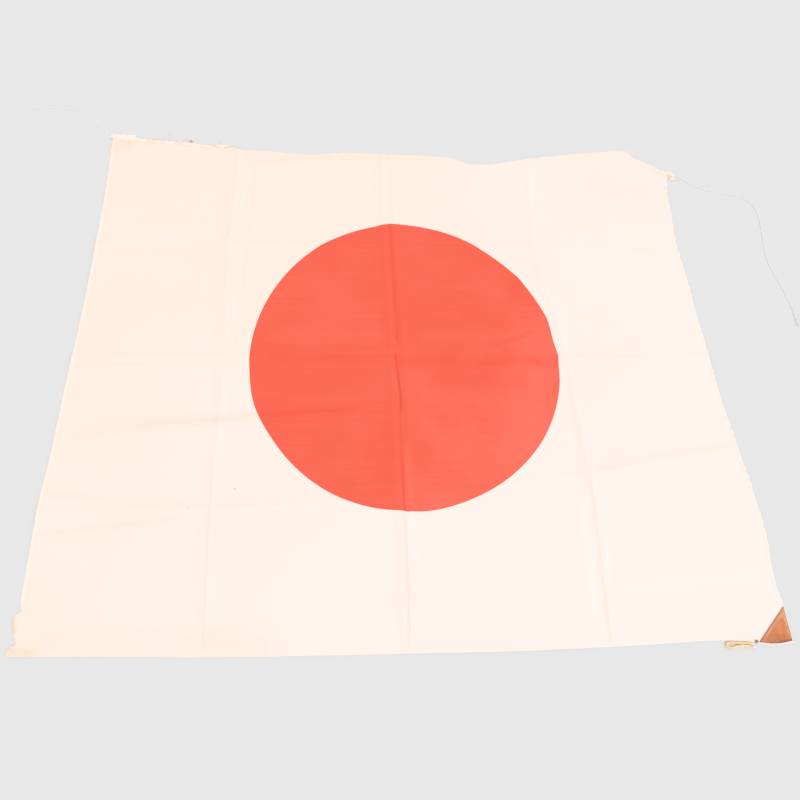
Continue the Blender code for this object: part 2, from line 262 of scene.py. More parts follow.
def twisted_strands(middle, plies, ply_offset, pitch, opened=0.0):
    """The plies of a cord, wound round its middle line in metres; opened is how far they part at its end."""
    strands = [[] for _ in range(plies)]
    travelled = 0.0
    total = sum((b - a).length for a, b in zip(middle, middle[1:]))
    for number, place in enumerate(middle):
        before = middle[max(number - 1, 0)]
        after = middle[min(number + 1, len(middle) - 1)]
        travelled += (place - before).length
        sideways = Vector((before.y - after.y, after.x - before.x, 0)).normalized()
        loose = max(0.0, 1 - (total - travelled) / OPENED_LENGTH)
        for ply, strand in enumerate(strands):
            turn = math.tau * (travelled / pitch * (1 - 0.5 * loose) + ply / plies)
            offset = ply_offset * (math.cos(turn) * sideways + math.sin(turn) * Vector((0, 0, 1)))
            spread = opened * loose ** 1.5 * (ply - (plies - 1) / 2) * sideways
            untwisted = loose * bool(opened)
            strand.append((place + offset * (1 - untwisted) + spread, 1.0 - OPENED_THINNING * untwisted))
    return strands


YARN_MIDDLE = 0.45 * MM
YARN_PITCH = 2.4 * MM
YARN_PLY = 0.42 * MM
YARN_OFFSET = 0.17 * MM
RIGHT_YARN_ROUTE = ((438.4, 288.5), (449, 277), (465, 267), (482, 260), (500, 256), (517, 253), (530, 248),
                    (540, 241), (546, 232), (548, 220), (547, 200), (543, 175), (539, 150), (538, 128),
                    (541, 108), (545, 90), (548, 70), (549, 48), (547.5, 27))
RIGHT_YARN_OPENED = 3.6 * MM     # how far its two plies part at its loose end
LEFT_YARN_ROUTE = ((-438.5, 350.5), (-447, 353), (-456, 360), (-463, 371), (-470, 383), (-480, 391.5),
                   (-493, 396), (-507, 397.5), (-522, 398), (-538, 398), (-552, 396.5), (-566, 395))
YARN_CREAM = (0.97, 0.92, 0.86, 1.0)
# Painted shadow at the pale yarn's loose end
YARN_END_SHADOW = (0.72, 0.57, 0.45, 1.0)
YARN_ROSE = (0.97, 0.85, 0.82, 1.0)
YARN_FADED = (0.97, 0.92, 0.90, 1.0)


def yarn_material(name, pale, far_colour, axis, start, end):
    """Spun cotton, pale as far as start along the axis and in the far colour from end on."""
    material, paint = new_material(name)
    place = paint.place()
    stretch = (place.part(axis) + place.noise(120.0) * (14 * MM)).rise(start, end)
    fibres = place.noise(2600.0, detail=3.0)
    set_shader(material, Base_Color=stretch.mixed(pale, far_colour), Normal=fibres.bump(0.04 * MM),
               Roughness=0.95, Specular_IOR_Level=0.1)
    return material


def lay_yarn(name, node, route, material, opened):
    """A two-ply yarn that lies on the surface along its route."""
    middle = [Vector((point.x * MM, point.y * MM, YARN_MIDDLE)) for point in smooth_through(route)]
    strands = twisted_strands(middle, 2, YARN_OFFSET, YARN_PITCH, opened)
    yarn = strands_object(name, strands, YARN_PLY, material)
    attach(yarn, "root")
    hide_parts(node)
    return yarn


# The pale yarn's loose end is painted darker brown: painted shadow where it lies
pale_yarn = yarn_material("pale_spun_yarn", YARN_CREAM, YARN_END_SHADOW, "Y", 52 * MM, 44 * MM)
right_yarn = lay_yarn("right_yarn", "loose_thread_right", RIGHT_YARN_ROUTE, pale_yarn,
                      RIGHT_YARN_OPENED)
pink_yarn = yarn_material("pink_spun_yarn", YARN_FADED, YARN_ROSE, "X", -478 * MM, -500 * MM)
left_yarn = lay_yarn("left_yarn", "loose_thread_left", LEFT_YARN_ROUTE, pink_yarn, 0.0)

TIE_MIDDLE = 1.15 * MM
TIE_PITCH = 6.5 * MM
TIE_STRAND = 1.26 * MM
TIE_OFFSET = 0.52 * MM
TIE_ROUTE = ((367.2, -361.5), (363, -360.4), (358, -359.3), (352, -358.9), (347, -358.7), (343, -358.3),
             (339.5, -358.1), (336, -358.6), (333.9, -360.6), (336, -362.8), (339.5, -363.2), (343, -362.6),
             (347, -361.6), (352, -361.4), (358, -361.9), (363, -362.9), (367.2, -364.0))
TIE_OCHRE = (0.97, 0.665, 0.36, 1.0)
TIE_PALE = (0.98, 0.81, 0.57, 1.0)
TIE_BLEACHED = (0.88, 0.83, 0.79, 1.0)

tie_cotton, paint = new_material("yellowed_tie_cord")
place = paint.place()
worn = place.noise(160.0, detail=3.0).rise(0.35, 0.7)
bleached = (place.part("X") + place.noise(500.0) * (3 * MM)).rise(363.5 * MM, 366.5 * MM)
fibres = place.noise(1800.0, detail=3.0)
set_shader(tie_cotton, Base_Color=bleached.mixed(worn.mixed(TIE_OCHRE, TIE_PALE), TIE_BLEACHED),
           Normal=fibres.bump(0.2 * MM), Roughness=0.9, Specular_IOR_Level=0.15)

middle = [Vector((point.x * MM, point.y * MM, TIE_MIDDLE)) for point in smooth_through(TIE_ROUTE)]
strands = twisted_strands(middle, 3, TIE_OFFSET, TIE_PITCH)
tie_cord = strands_object("tie_cord", strands, TIE_STRAND, tie_cotton, 2)
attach(tie_cord, "root")
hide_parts("tie_loop")


# The cloth
# One width of thin plain-weave cotton with a red disc dyed into it. Long storage, folded in four each way,
# pressed its creases; its upper right corner is torn off and its lower left hem has come open.
CLOTH_THICK = 0.45 * MM
SELVEDGE_RISE = 0.15 * MM       # the selvedge along the lower edge is thicker by this
SELVEDGE_WIDTH = 3.5 * MM
# The edges and the main creases, in millimetres: a point gives y, then x, on a line up the cloth, and x, then
# y, on one across it
LEFT_EDGE = ((-350, -430), (-346, -432), (-342.2, -430.3), (-338.2, -424.3), (-331, -427.5), (-323, -431.5),
             (-312, -432.5), (-308, -425.5), (-297, -428.5), (-247, -430.1), (-193, -431.3), (-135, -429.3),
             (-74, -429.1), (64, -426.9), (226, -429.1), (340, -434.4))
RIGHT_EDGE = ((-361, 411.2), (-350, 412), (-332, 411.8), (-307, 410.5), (-285, 411), (-264, 414),
              (-219, 415.5), (-146, 411.5), (-93, 407.9), (-9, 406), (117, 406), (151, 404.5), (204, 408.5),
              (261, 414.5), (290, 420.5))
BOTTOM_EDGE = ((-430, -350), (-316, -353), (-236, -356), (-152, -357.5), (38, -359.4), (100, -360),
               (148, -359.6), (249, -358), (322, -356), (351, -357), (362, -357.6), (371, -359.6),
               (382, -361.6), (399, -361.8), (412, -360.2))
TOP_EDGE = ((-434, 340), (-374, 334), (-329, 331), (-254, 324.6), (-240, 322.8), (-206, 321.6),
            (-130, 315.5), (-84, 321.4), (-7, 319.3), (22, 319.3), (52, 317.4), (86, 314.6), (100, 306.4),
            (132, 303), (180, 312), (246, 323.3), (329, 334), (362, 337), (375, 322.5), (390, 313.7),
            (404, 304.6), (413, 298.4), (420.5, 290))
CREASE_LEFT = ((-356, -231.5), (-161, -239), (-25, -238.5), (170, -247.5), (324, -247.5))
CREASE_MIDDLE = ((-358, -16.5), (-18, -15.5), (196, -20.5), (318, -17.5))
CREASE_RIGHT = ((-358, 204.5), (-252, 215.5), (-173, 213.5), (-33, 210.5), (157, 189.5), (304, 201.5))
CREASE_LOWER = ((-430, -207), (-272, -207), (-16, -195), (213, -172), (352, -145), (415, -140))
CREASE_CENTRE = ((-430, -19), (-240, -21), (250, -19), (410, -20))
CREASE_UPPER = ((-428, 149), (-250, 152), (276, 151), (407, 144))
UP_LINES = (LEFT_EDGE, CREASE_LEFT, CREASE_MIDDLE, CREASE_RIGHT, RIGHT_EDGE)
ACROSS_LINES = (BOTTOM_EDGE, CREASE_LOWER, CREASE_CENTRE, CREASE_UPPER, TOP_EDGE)

# The broad folds, on those of the cloth's solid: the line, how high it stands and how far its sides reach
RIDGES_UP = ((CREASE_LEFT, 1.5 * MM, 20 * MM), (CREASE_RIGHT, 1.0 * MM, 18 * MM))
SHOULDERS_UP = ((CREASE_MIDDLE, 1.3 * MM, 8 * MM, 18 * MM),)      # a valley between two low shoulders
RIDGES_ACROSS = ((CREASE_CENTRE, 1.4 * MM, 18 * MM), (CREASE_UPPER, 1.2 * MM, 18 * MM),
                 (CREASE_LOWER, 1.2 * MM, 18 * MM))
SOFT_FOLD = ((-400, -126), (-364, -119), (-308, -110), (-200, -104), (-160, -96))
SOFT_FOLD_HEIGHT = 1.9 * MM
SOFT_FOLD_REACH = 26 * MM
SOFT_FOLD_ENDS = (-405 * MM, -165 * MM)
SOFT_FOLD_FADES = (60 * MM, 50 * MM)
BILLOW_HEIGHT = 1.3 * MM
BILLOW_LENGTHS = (310 * MM, 245 * MM)
BILLOW_SWAYS = ((0.15, 9), (0.12, 7))       # how far the billows stray, and how quickly
BILLOW_START = 0.3
SINK = 0.7 * MM                 # what lies lower than this is pressed flat
CURL_HEIGHT = 0.1 * MM          # the lower edge curls up by this
CURL_REACH = 13 * MM
LOW_EDGE_REACH = 45 * MM        # and lies flatter over this
LOW_EDGE_LAID = 0.35            # down to this share of its height
PATCH_CORNER = (410.4, -358.4)
PATCH_HOLD = (55 * MM, 130 * MM)     # it holds the cloth flat up to the first and no longer at the second

# The sharp creases, in millimetres: points, height, reach on each side, how each is pressed, and how dark
# the painted shade along its line is
SHARP_CREASES = (
    (((-245.8, 326), (-245.3, 240), (-246.3, 176), (-252, 160), (-268, 151), (-300, 149)), 0.35, 3.0,
     "ridge", 0.6),
    (((-217, 300), (-217, 240), (-219.5, 130), (-224.5, 20), (-225, -20)), 0.28, 3.2, "valley", 0.2),
    (((-238, -14), (-237, -80), (-238, -154)), 0.3, 2.8, "ridge", 0.25),
    (((-239.7, -158), (-236.3, -250), (-231.8, -357)), 0.4, 2.6, "ridge", 0.5),
    (((-17.5, 320), (-20, 190)), 0.22, 3.0, "valley", 0.06),
    (((-18.4, 196), (-16.4, 60), (-15, -4)), 0.3, 2.4, "valley", 0.32),
    (((-15.7, 196), (-13.7, 60), (-12.7, -10)), 0.3, 2.2, "ridge", 0.22),
    (((-18.6, -8), (-15.6, -42), (-13.3, -72), (-13.3, -98)), 0.6, 2.4, "ridge", 0.8),
    (((-14.2, -70), (-15.2, -110), (-15.2, -170)), 0.4, 3.0, "valley", 0.25),
    (((-15.2, -148), (-14.4, -224)), 0.5, 3.0, "valley", 0.5),
    (((-14.2, -208), (-13.9, -270), (-15.4, -360)), 0.45, 3.0, "valley", 0.8),
    (((202.5, 306), (196, 230), (189.5, 157), (200, 60), (210.5, -33)), 0.16, 2.6, "valley", 0.0),
    (((209.5, -33), (211.3, -106), (212.6, -173)), 0.3, 2.8, "valley", 0.12),
    (((177, -172.5), (196, -171.5), (214, -173.5)), 0.35, 3.0, "ridge", 0.0),
    (((213.5, -165), (212.5, -215), (208.5, -280), (204.5, -360)), 0.5, 3.4, "valley", 0.75),
    (((-421.5, 149), (-336, 150), (-251.5, 152)), 0.22, 2.6, "ridge", 0.0),
    (((282, 149), (340, 147), (408, 142)), 0.25, 2.6, "ridge", 0.25),
    (((-424, -12), (-330, -13), (-243.5, -15), (-190, -17)), 0.3, 2.2, "ridge", 0.22),
    (((-424, -27), (-330, -27.5), (-243.5, -27)), 0.3, 2.2, "ridge", 0.3),
    (((200, -15), (251.5, -20), (320, -20.3), (412, -21.4)), 0.35, 2.6, "ridge", 0.3),
    (((240, -27), (320, -28), (412, -29)), 0.2, 2.4, "ridge", 0.1),
    (((345, 8), (412, 11)), 0.2, 2.4, "ridge", 0.14),
    (((115, 4.4), (133, 8), (150.3, 14.7), (178, 26)), 0.35, 3.0, "ridge", 0.0),
    (((-426.5, -185.5), (-350, -194.5), (-273.5, -203.5)), 0.35, 5.0, "ridge", 0.0),
    (((-425.5, -231.5), (-350, -224.5), (-271.5, -214.5)), 0.35, 5.0, "ridge", 0.0),
    (((215.5, -159), (280, -154), (352.5, -145)), 0.4, 5.0, "ridge", 0.0),
    (((-410, -127), (-363.5, -120), (-308.5, -110), (-200.5, -104), (-188, -98)), 0.4, 10.0, "ridge", 0.0),
    (((-190, -96), (-120, -90), (-50, -85), (-20, -83)), 0.5, 9.0, "ridge", 0.0),
    (((-426.5, -309), (-344.5, -310), (-238.5, -321), (-100.5, -344)), 0.3, 6.0, "ridge", 0.0),
    (((214.5, -320), (317.5, -311), (406.5, -303)), 0.3, 6.0, "ridge", 0.0),
    (((-67.5, -311), (-40.5, -301)), 0.25, 2.2, "ridge", 0.0),
    (((-3.5, -337), (-2.0, -348), (1.5, -358)), 0.35, 2.2, "ridge", 0.0),
    (((-412, 205), (-392, 199), (-380, 197)), 0.2, 2.4, "ridge", 0.0),
    (((-226.5, 300), (-151.5, 309), (-80, 313), (-6.5, 313), (60, 309)), 0.35, 4.5, "ridge", 0.0),
)
CREASE_END = 14 * MM            # a crease fades out over this length
# The crease's line is painted shade
LINE_REACH = 2.4 * MM           # and its dark line over this on each side
VALLEY_LIP = 0.45               # a valley's shoulders stand at this share of its reach
# The soft wrinkles: how many to a metre each way, and their height
WRINKLES = ((11.0, 19.0, 0.42 * MM), (34.0, 52.0, 0.13 * MM))

# Soiled places, and a darker ochre line below the top edge: points, reach and strength, in millimetres
SOILED = (
    (((-436, -344), (-408, -347)), 13, 0.42),
    (((-434, -312), (-430.5, -327)), 5, 1.15),
    (((-434, -304), (-410, -310)), 16, 0.2),
    (((-425, -340), (-300, -346), (-180, -352)), 30, 0.18),
    # These two give a darker ochre line below the top edge, along the low ridge there
    (((-210, 301), (-151, 308), (-80, 311), (-16, 311)), 8, 0.32),
    (((-10, 314), (62, 310), (120, 302)), 7, 0.16),
    (((-434, 338), (-374, 331)), 12, 0.3),
    (((-300, 326), (-254, 322)), 8, 0.25),
    (((405, -310), (372, -345), (352, -356)), 16, 0.1),
    (((402, 300), (418, 287)), 9, 0.35),
    (((-433, 318), (-414, 327)), 17, 0.36),
    (TOP_EDGE[7:19], 2.6, 0.5),
    (((-400, 60), (-290, 40)), 120, 0.08),
)
# Soft bands beside the folds, of painted shade where their strength is below 0 and painted light above:
# points and reach in millimetres, and strength
PAINTED_LIGHT_AND_SHADE = (
    (((-430, -118), (-364, -111), (-290, -105)), 11, -0.2),
    (((-350, -108), (-230, -101), (-170, -93)), 11, -0.55),
    (((-215, -97), (-130, -92), (-50, -87)), 5, -0.7),
    (((-180, -78), (-102, -74), (-30, -70)), 9, 0.12),
    (((-195, -22), (-100, -22), (-20, -22)), 8, -0.35),
    (((-30, -26), (60, -26), (120, -26), (225, -24)), 14, -0.55),
    (((-195, 10), (-100, 11), (-20, 11)), 12, 0.3),
    (((0, 11), (100, 11), (190, 12)), 12, 0.3),
    (((-8, -120), (-7, -235)), 7, 0.45),
    (((-10, -205), (-11, -390)), 4, 0.3),
    (((-22, -205), (-23, -390)), 6, -0.35),
    (((-415, 138), (-255, 140)), 14, -0.2),
    (((-415, 164), (-255, 165)), 14, 0.15),
    (((-258, 150), (-250, 0)), 9, -0.2),
    (((-233, 150), (-228, 0)), 9, 0.2),
    (((-231.5, -20), (-231.5, -150)), 2.5, 0.1),
    (((-232, 300), (-232, 170)), 8, 0.15),
    (((-450, -183.5), (-350, -194.5), (-258, -205.5)), 5, -0.5),
    (((-450, -233.5), (-350, -224.5), (-258, -212.5)), 5, -0.5),
    (((-420, -333), (-300, -335), (-150, -347)), 20, -0.36),
    (((220, -330), (320, -326), (400, -320)), 16, -0.2),
    (((220, -303), (320, -298), (400, -290)), 12, 0.15),
    (((215, -168), (300, -156), (352, -147), (415, -140)), 6, -0.4),
    (((203, -40), (207, -110), (208, -165)), 5, -0.25),
    (((200, -185), (192, -345)), 10, 0.3),
    (((15, -50), (90, -52), (165, -50)), 24, -0.45),
    (((20, -132), (90, -130)), 22, 0.25),
    (((96, -5), (150, 9), (186, 27)), 5, -0.55),
)
DISC_CENTRE = (-3.85, -14.9)
DISC_RADIUS = 201.0
# The rim of the dye: degrees round from +X, and how far out of the circle it is, in millimetres
DISC_RIM = ((0, 1.8), (6, -0.5), (15, 1.5), (23, 0.0), (30, -0.6), (35, 0.1), (40, -1.1), (48, -1.9),
            (55, -2.1), (60, -0.8), (80, 1.2), (90, 3.3), (95, 4.1), (101, 2.3), (116, 1.0), (140, -0.2),
            (148, -0.4), (165, 0.2), (180, 1.4), (186, 1.5), (199, 3.1), (207, 1.6), (215, 0.4), (238, 0.0),
            (257, -2.1), (265, -3.4), (275, -2.1), (290, -2.8), (310, -1.0), (330, 1.5), (348, 2.2),
            (355, 1.2), (360, 1.8))
DISC_STEPS = ((94.2, 0.7, 1.0), (268.0, 0.9, 0.8))     # small steps at a crease: where, how wide and how far


def line_at(line, along):
    """Where a line in millimetres lies at places along it, in metres: a curve that overshoots no point."""
    knots, values = np.array(line, float).T * MM
    rises = np.diff(values) / np.diff(knots)
    same_way = rises[:-1] * rises[1:] > 0
    total = np.where(same_way, rises[:-1] + rises[1:], 1.0)
    inner = np.where(same_way, 2 * rises[:-1] * rises[1:] / total, 0.0)
    slopes = np.concatenate([rises[:1], inner, rises[-1:]])
    along = np.clip(along, knots[0], knots[-1])
    after = np.clip(np.searchsorted(knots, along), 1, len(knots) - 1)
    span = knots[after] - knots[after - 1]
    t = (along - knots[after - 1]) / span
    start, end = values[after - 1], values[after]
    return (start + (end - start) * t * t * (3 - 2 * t)
            + span * (slopes[after - 1] * t * (1 - t) ** 2 - slopes[after] * t * t * (1 - t)))


def between(lines, places, along):
    """Like line_at, for places such as 1.25, a quarter of the way from the second line to the third."""
    first = np.clip(places.astype(int), 0, len(lines) - 2)
    share = places - first
    values = np.array([line_at(line, along) for line in lines])
    number = np.arange(len(along))
    return (1 - share) * values[first, number] + share * values[first + 1, number]


def fade(value, start, end):
    """Rises smoothly from 0 at start to 1 at end."""
    share = np.clip((value - start) / (end - start), 0, 1)
    return share * share * (3 - 2 * share)


def slope(distance, height, reach):
    """A pressed crease's side: steepest at the crest, then easing down to the surface."""
    return height * np.maximum(0, 1 - np.abs(distance) / reach) ** 2


def from_line(points, x, y):
    """How far places are from a drawn line, and how far from its nearer end their nearest point on it is."""
    points = [(px * MM, py * MM) for px, py in points]
    total = sum(math.dist(a, b) for a, b in zip(points, points[1:]))
    nearest = np.full(len(x), 1.0)
    end_gap = np.zeros(len(x))
    travelled = 0.0
    for (x0, y0), (x1, y1) in zip(points, points[1:]):
        length = math.dist((x0, y0), (x1, y1))
        run_x, run_y = (x1 - x0) / length, (y1 - y0) / length
        along = np.clip((x - x0) * run_x + (y - y0) * run_y, 0, length)
        distance = np.hypot(x - x0 - along * run_x, y - y0 - along * run_y)
        closer = distance < nearest
        nearest = np.where(closer, distance, nearest)
        reached = travelled + along
        end_gap = np.where(closer, np.minimum(reached, total - reached), end_gap)
        travelled += length
    return nearest, end_gap


def flat_at_patch(x, y):
    """0 where the stitched patch holds the cloth flat, and 1 away from it."""
    return fade(np.hypot(x - PATCH_CORNER[0] * MM, y - PATCH_CORNER[1] * MM), *PATCH_HOLD)


def broad_lift(x, y):
    """How high the broad folds hold the cloth's underside off the surface."""
    up = sum(slope(x - line_at(line, y), height, reach) for line, height, reach in RIDGES_UP)
    for line, height, offset, reach in SHOULDERS_UP:
        up = up + slope(np.abs(x - line_at(line, y)) - offset, height, reach)
    across = sum(slope(y - line_at(line, x), height, reach) for line, height, reach in RIDGES_ACROSS)
    window = fade(x, SOFT_FOLD_ENDS[0], SOFT_FOLD_ENDS[0] + SOFT_FOLD_FADES[0])
    window = window * (1 - fade(x, SOFT_FOLD_ENDS[1] - SOFT_FOLD_FADES[1], SOFT_FOLD_ENDS[1]))
    soft = window * slope(y - line_at(SOFT_FOLD, x), SOFT_FOLD_HEIGHT, SOFT_FOLD_REACH)
    (stray_x, quick_x), (stray_y, quick_y) = BILLOW_SWAYS
    wave_x = np.sin(math.tau * (x / BILLOW_LENGTHS[0] + stray_x * np.sin(quick_x * y)))
    wave_y = np.sin(math.tau * (y / BILLOW_LENGTHS[1] + BILLOW_START + stray_y * np.sin(quick_y * x)))
    billow = BILLOW_HEIGHT * (1 + wave_x * wave_y) / 2
    curl = CURL_HEIGHT * (1 - fade(y - line_at(BOTTOM_EDGE, x), 0, CURL_REACH)) ** 1.5
    held = flat_at_patch(x, y)
    laid = LOW_EDGE_LAID + (1 - LOW_EDGE_LAID) * fade(y - line_at(BOTTOM_EDGE, x), 0, LOW_EDGE_REACH)
    return np.maximum(0, held * laid * (np.hypot(up, across) + soft + billow) - SINK) + held * curl


def sharp_lift(x, y):
    """The sharp creases' own height, and how dark the painted shade along their lines is at each place."""
    lift = np.zeros(len(x))
    crease_shade = np.zeros(len(x))
    for points, height, reach, pressed, dark in SHARP_CREASES:
        distance, end_gap = from_line(points, x, y)
        strength = fade(end_gap, 0, CREASE_END)
        lip = VALLEY_LIP * reach * MM
        if pressed == "valley":
            shoulder = slope(np.maximum(0, distance - lip), height * MM, reach * MM - lip)
            lift += strength * shoulder * np.minimum(1, distance / lip)
        else:
            lift += strength * slope(distance, height * MM, reach * MM)
        crease_shade = np.maximum(crease_shade, strength * dark * np.maximum(0, 1 - distance / LINE_REACH))
    return lift * flat_at_patch(x, y), crease_shade


def wrinkle_lift(x, y):
    """Soft uneven wrinkles, longer along the flag than up it."""
    lift = np.zeros(len(x))
    for across, along, height in WRINKLES:
        lift += [height * max(0.0, noise.noise((px * across, py * along, height / MM)))
                 for px, py in zip(x, y)]
    return lift * flat_at_patch(x, y)


def cloth_lift(x, y):
    """How high the cloth's underside lies, from all that raises it."""
    x = np.atleast_1d(np.asarray(x, float))
    y = np.atleast_1d(np.asarray(y, float))
    return broad_lift(x, y) + sharp_lift(x, y)[0] + wrinkle_lift(x, y)


def mesh_places(widths, close):
    """Where the mesh lines run, counted in quarters of the cloth: coarse, but for the close places."""
    places = [0.0]
    start = 0.0
    for quarter, width in enumerate(widths):
        s = np.linspace(0, width, 2000)
        spacing = np.full(len(s), MESH_COARSE)
        for near, far, finest, growth in close:
            away = np.maximum(0, np.maximum(near - start - s, s - (far - start)))
            spacing = np.minimum(spacing, finest + growth * away)
        count = np.concatenate([[0.0], np.cumsum((s[1] - s[0]) / spacing[1:])])
        lines = round(count[-1])
        shares = np.interp(np.arange(1, lines + 1) * count[-1] / lines, count, s / width)
        places.extend(quarter + shares)
        start += width
    return places


def laid_grid(columns, rows, place):
    """A bmesh grid whose points are moved to where place puts arrays of their column and row numbers."""
    bm = bmesh.new()
    bmesh.ops.create_grid(bm, x_segments=columns - 1, y_segments=rows - 1, size=0.5)
    column = np.array([round((vert.co.x + 0.5) * (columns - 1)) for vert in bm.verts])
    row = np.array([round((vert.co.y + 0.5) * (rows - 1)) for vert in bm.verts])
    for vert, x, y, z in zip(bm.verts, *place(column, row)):
        vert.co = (x, y, z)
    return bm


# How wide each quarter of the cloth is, and where its mesh lines run close, in millimetres from its left or
# lower edge: from where to where, the finest spacing, and how fast the spacing grows away from it
MESH_COARSE = 5.6
COLUMN_WIDTHS = (190, 225, 226, 203)
COLUMN_CLOSE = ((0, 0, 1.2, 0.1), (190, 190, 0.8, 0.14), (205, 218, 1.7, 0.2), (412, 418, 0.8, 0.14),
                (641, 641, 0.8, 0.14), (844, 844, 1.2, 0.1))
ROW_WIDTHS = (150, 176, 172, 168)
ROW_CLOSE = ((0, 10, 1.9, 0.2), (0, 62, 3.4, 0.2), (122, 180, 3.0, 0.2), (150, 150, 1.1, 0.14),
             (228, 268, 3.2, 0.2), (322, 331, 1.0, 0.14), (498, 498, 1.0, 0.14), (648, 666, 2.2, 0.14))
CROSSING_ROUNDS = 6             # each round brings a crossing of two lines nearer to its place
column_places = np.array(mesh_places(COLUMN_WIDTHS, COLUMN_CLOSE))
row_places = np.array(mesh_places(ROW_WIDTHS, ROW_CLOSE))


def cloth_place(column, row):
    """Where the mesh lines cross on the cloth's underside."""
    x = np.zeros(len(column))
    y = np.zeros(len(column))
    for _ in range(CROSSING_ROUNDS):
        y = between(ACROSS_LINES, row_places[row], x)
        x = between(UP_LINES, column_places[column], y)
    return x, y, cloth_lift(x, y)


def thicken(bm, thick_at):
    """Gives a laid grid its thickness: the copy raised by thick_at(x, y) is the top."""
    raised = bmesh.ops.extrude_face_region(bm, geom=bm.faces[:], use_keep_orig=True)["geom"]
    top = [part for part in raised if isinstance(part, bmesh.types.BMVert)]
    x, y = np.array([vert.co.xy for vert in top]).T
    for vert, thick in zip(top, thick_at(x, y)):
        vert.co.z += thick
    bmesh.ops.recalc_face_normals(bm, faces=bm.faces[:])


def cloth_thick(x, y):
    """The weave is a little thicker in the selvedge along the lower edge."""
    return CLOTH_THICK + SELVEDGE_RISE * (y - line_at(BOTTOM_EDGE, x) < SELVEDGE_WIDTH)


def dye_distance(x, y):
    """How far places are outside the rim of the dye, which steps a little where a crease crosses it."""
    across = x - DISC_CENTRE[0] * MM
    up = y - DISC_CENTRE[1] * MM
    angle = np.degrees(np.arctan2(up, across)) % 360
    radius = np.full(len(x), DISC_RADIUS)
    for middle, wide, step in DISC_STEPS:
        gap = (angle - middle + 180) % 360 - 180
        radius += step * np.exp(-(gap / wide) ** 2)
    return np.hypot(across, up) - radius * MM - line_at(DISC_RIM, angle * MM)


def bands_at(bands, run_out, x, y):
    """The strength of soft bands, such as SOILED, all together at each place. Each fades over run_out at its
    ends, and has its full strength up to them where run_out is 0."""
    total = np.zeros(len(x))
    for points, reach, strength in bands:
        distance, end_gap = from_line(points, x, y)
        total += strength * fade(end_gap, -0.1 * MM, run_out) * np.exp(-2.5 * (distance / (reach * MM)) ** 2)
    return total


def set_attribute(mesh, name, values):
    """Stores a number at each of the mesh's points, for its material to read."""
    mesh.attributes.new(name, "FLOAT", "POINT").data.foreach_set("value", np.asarray(values, np.float32))


COTTON_WHITE = (0.900, 0.800, 0.758, 1.0)
COTTON_YELLOWED_AND_SHADED = (0.885, 0.741, 0.643, 1.0)
COTTON_OCHRE = (0.82, 0.57, 0.33, 1.0)
COTTON_BROWN = (0.42, 0.24, 0.12, 1.0)
# The cotton under painted shade and under painted light beside the folds
COTTON_SHADED = (0.850, 0.714, 0.622, 1.0)
COTTON_PAINTED_LIGHT = (0.925, 0.840, 0.800, 1.0)
DYE_RED = (0.87, 0.138, 0.091, 1.0)
DYE_DEEP = (0.84, 0.119, 0.072, 1.0)
DYE_FADED_AND_LIT = (0.88, 0.170, 0.118, 1.0)
# Painted shade along the creases, in the dye
DYE_CREASE_SHADE = (0.76, 0.075, 0.045, 1.0)
# The dye under painted shade and under painted light beside the folds
DYE_SHADED = (0.83, 0.104, 0.064, 1.0)
DYE_PAINTED_LIGHT = (0.91, 0.172, 0.118, 1.0)
THREAD_PITCH = 0.62 * MM
WEAVE_DEPTH = 0.035 * MM
SLUB_DEPTH = 0.05 * MM
SPECKS = ((-212.5, -184, 1.3), (-263.5, -205, 1.0))     # small brown specks and their width, in millimetres


def weave_height(place):
    """Plain weave: warp and weft pass over each other in turn."""
    warp = (place.part("X") * (math.tau / THREAD_PITCH)).maths("SINE")
    weft = (place.part("Y") * (math.tau / THREAD_PITCH)).maths("SINE")
    return warp * weft


def cotton_colour(place, soil):
    """Undyed cotton, yellowed unevenly, in painted shade towards the upper left and soiled where soil says."""
    # Painted shade: darker and yellower towards the upper left, where the light falls off; yellowed in random
    # patches too
    towards = place.part("X") * -0.75 + place.part("Y") * 0.75
    yellowing_and_falloff = (towards + place.noise(6.0, detail=3.0) * 0.9).rise(-0.15, 1.0)
    slubs = place.stretched((7.0, 700.0, 1.0)).noise(1.0, detail=2.0)
    colour = (yellowing_and_falloff * 0.85 + slubs * 0.15).mixed(COTTON_WHITE, COTTON_YELLOWED_AND_SHADED)
    patchy = soil * (place.noise(90.0, detail=3.0) * 1.1 + 0.45)
    colour = patchy.rise(0.0, 1.5).mixed(colour, COTTON_OCHRE)
    return patchy.rise(1.25, 2.2).mixed(colour, COTTON_BROWN)


def round_gap(place, x, y):
    """How far the place is from a point in millimetres, seen from above."""
    gap = place.node("ShaderNodeVectorMath", {0: place, 1: (x * MM, y * MM, 0.0)}, operation="SUBTRACT")
    gap = gap.node("ShaderNodeVectorMath", {0: gap, 1: (1.0, 1.0, 0.0)}, operation="MULTIPLY")
    return gap.node("ShaderNodeVectorMath", {0: gap}, output="Value", operation="LENGTH")


def round_spot(place, x, y, width):
    """A small round spot with an uneven rim."""
    uneven = round_gap(place, x, y) + place.noise(900.0) * (width * 0.4 * MM)
    return uneven.rise(width * 0.75 * MM, width * 0.45 * MM)


flag_cotton, paint = new_material("flag_cotton")
place = paint.place()
crease_shade = paint.attribute("crease_shade")
# Painted shade and painted light in soft bands beside the folds, made blotchy
shaded = paint.attribute("shaded") * (place.noise(26.0, detail=3.0) * 2.0)
field = (shaded * -1.0).mixed(cotton_colour(place, paint.attribute("soil")), COTTON_SHADED)
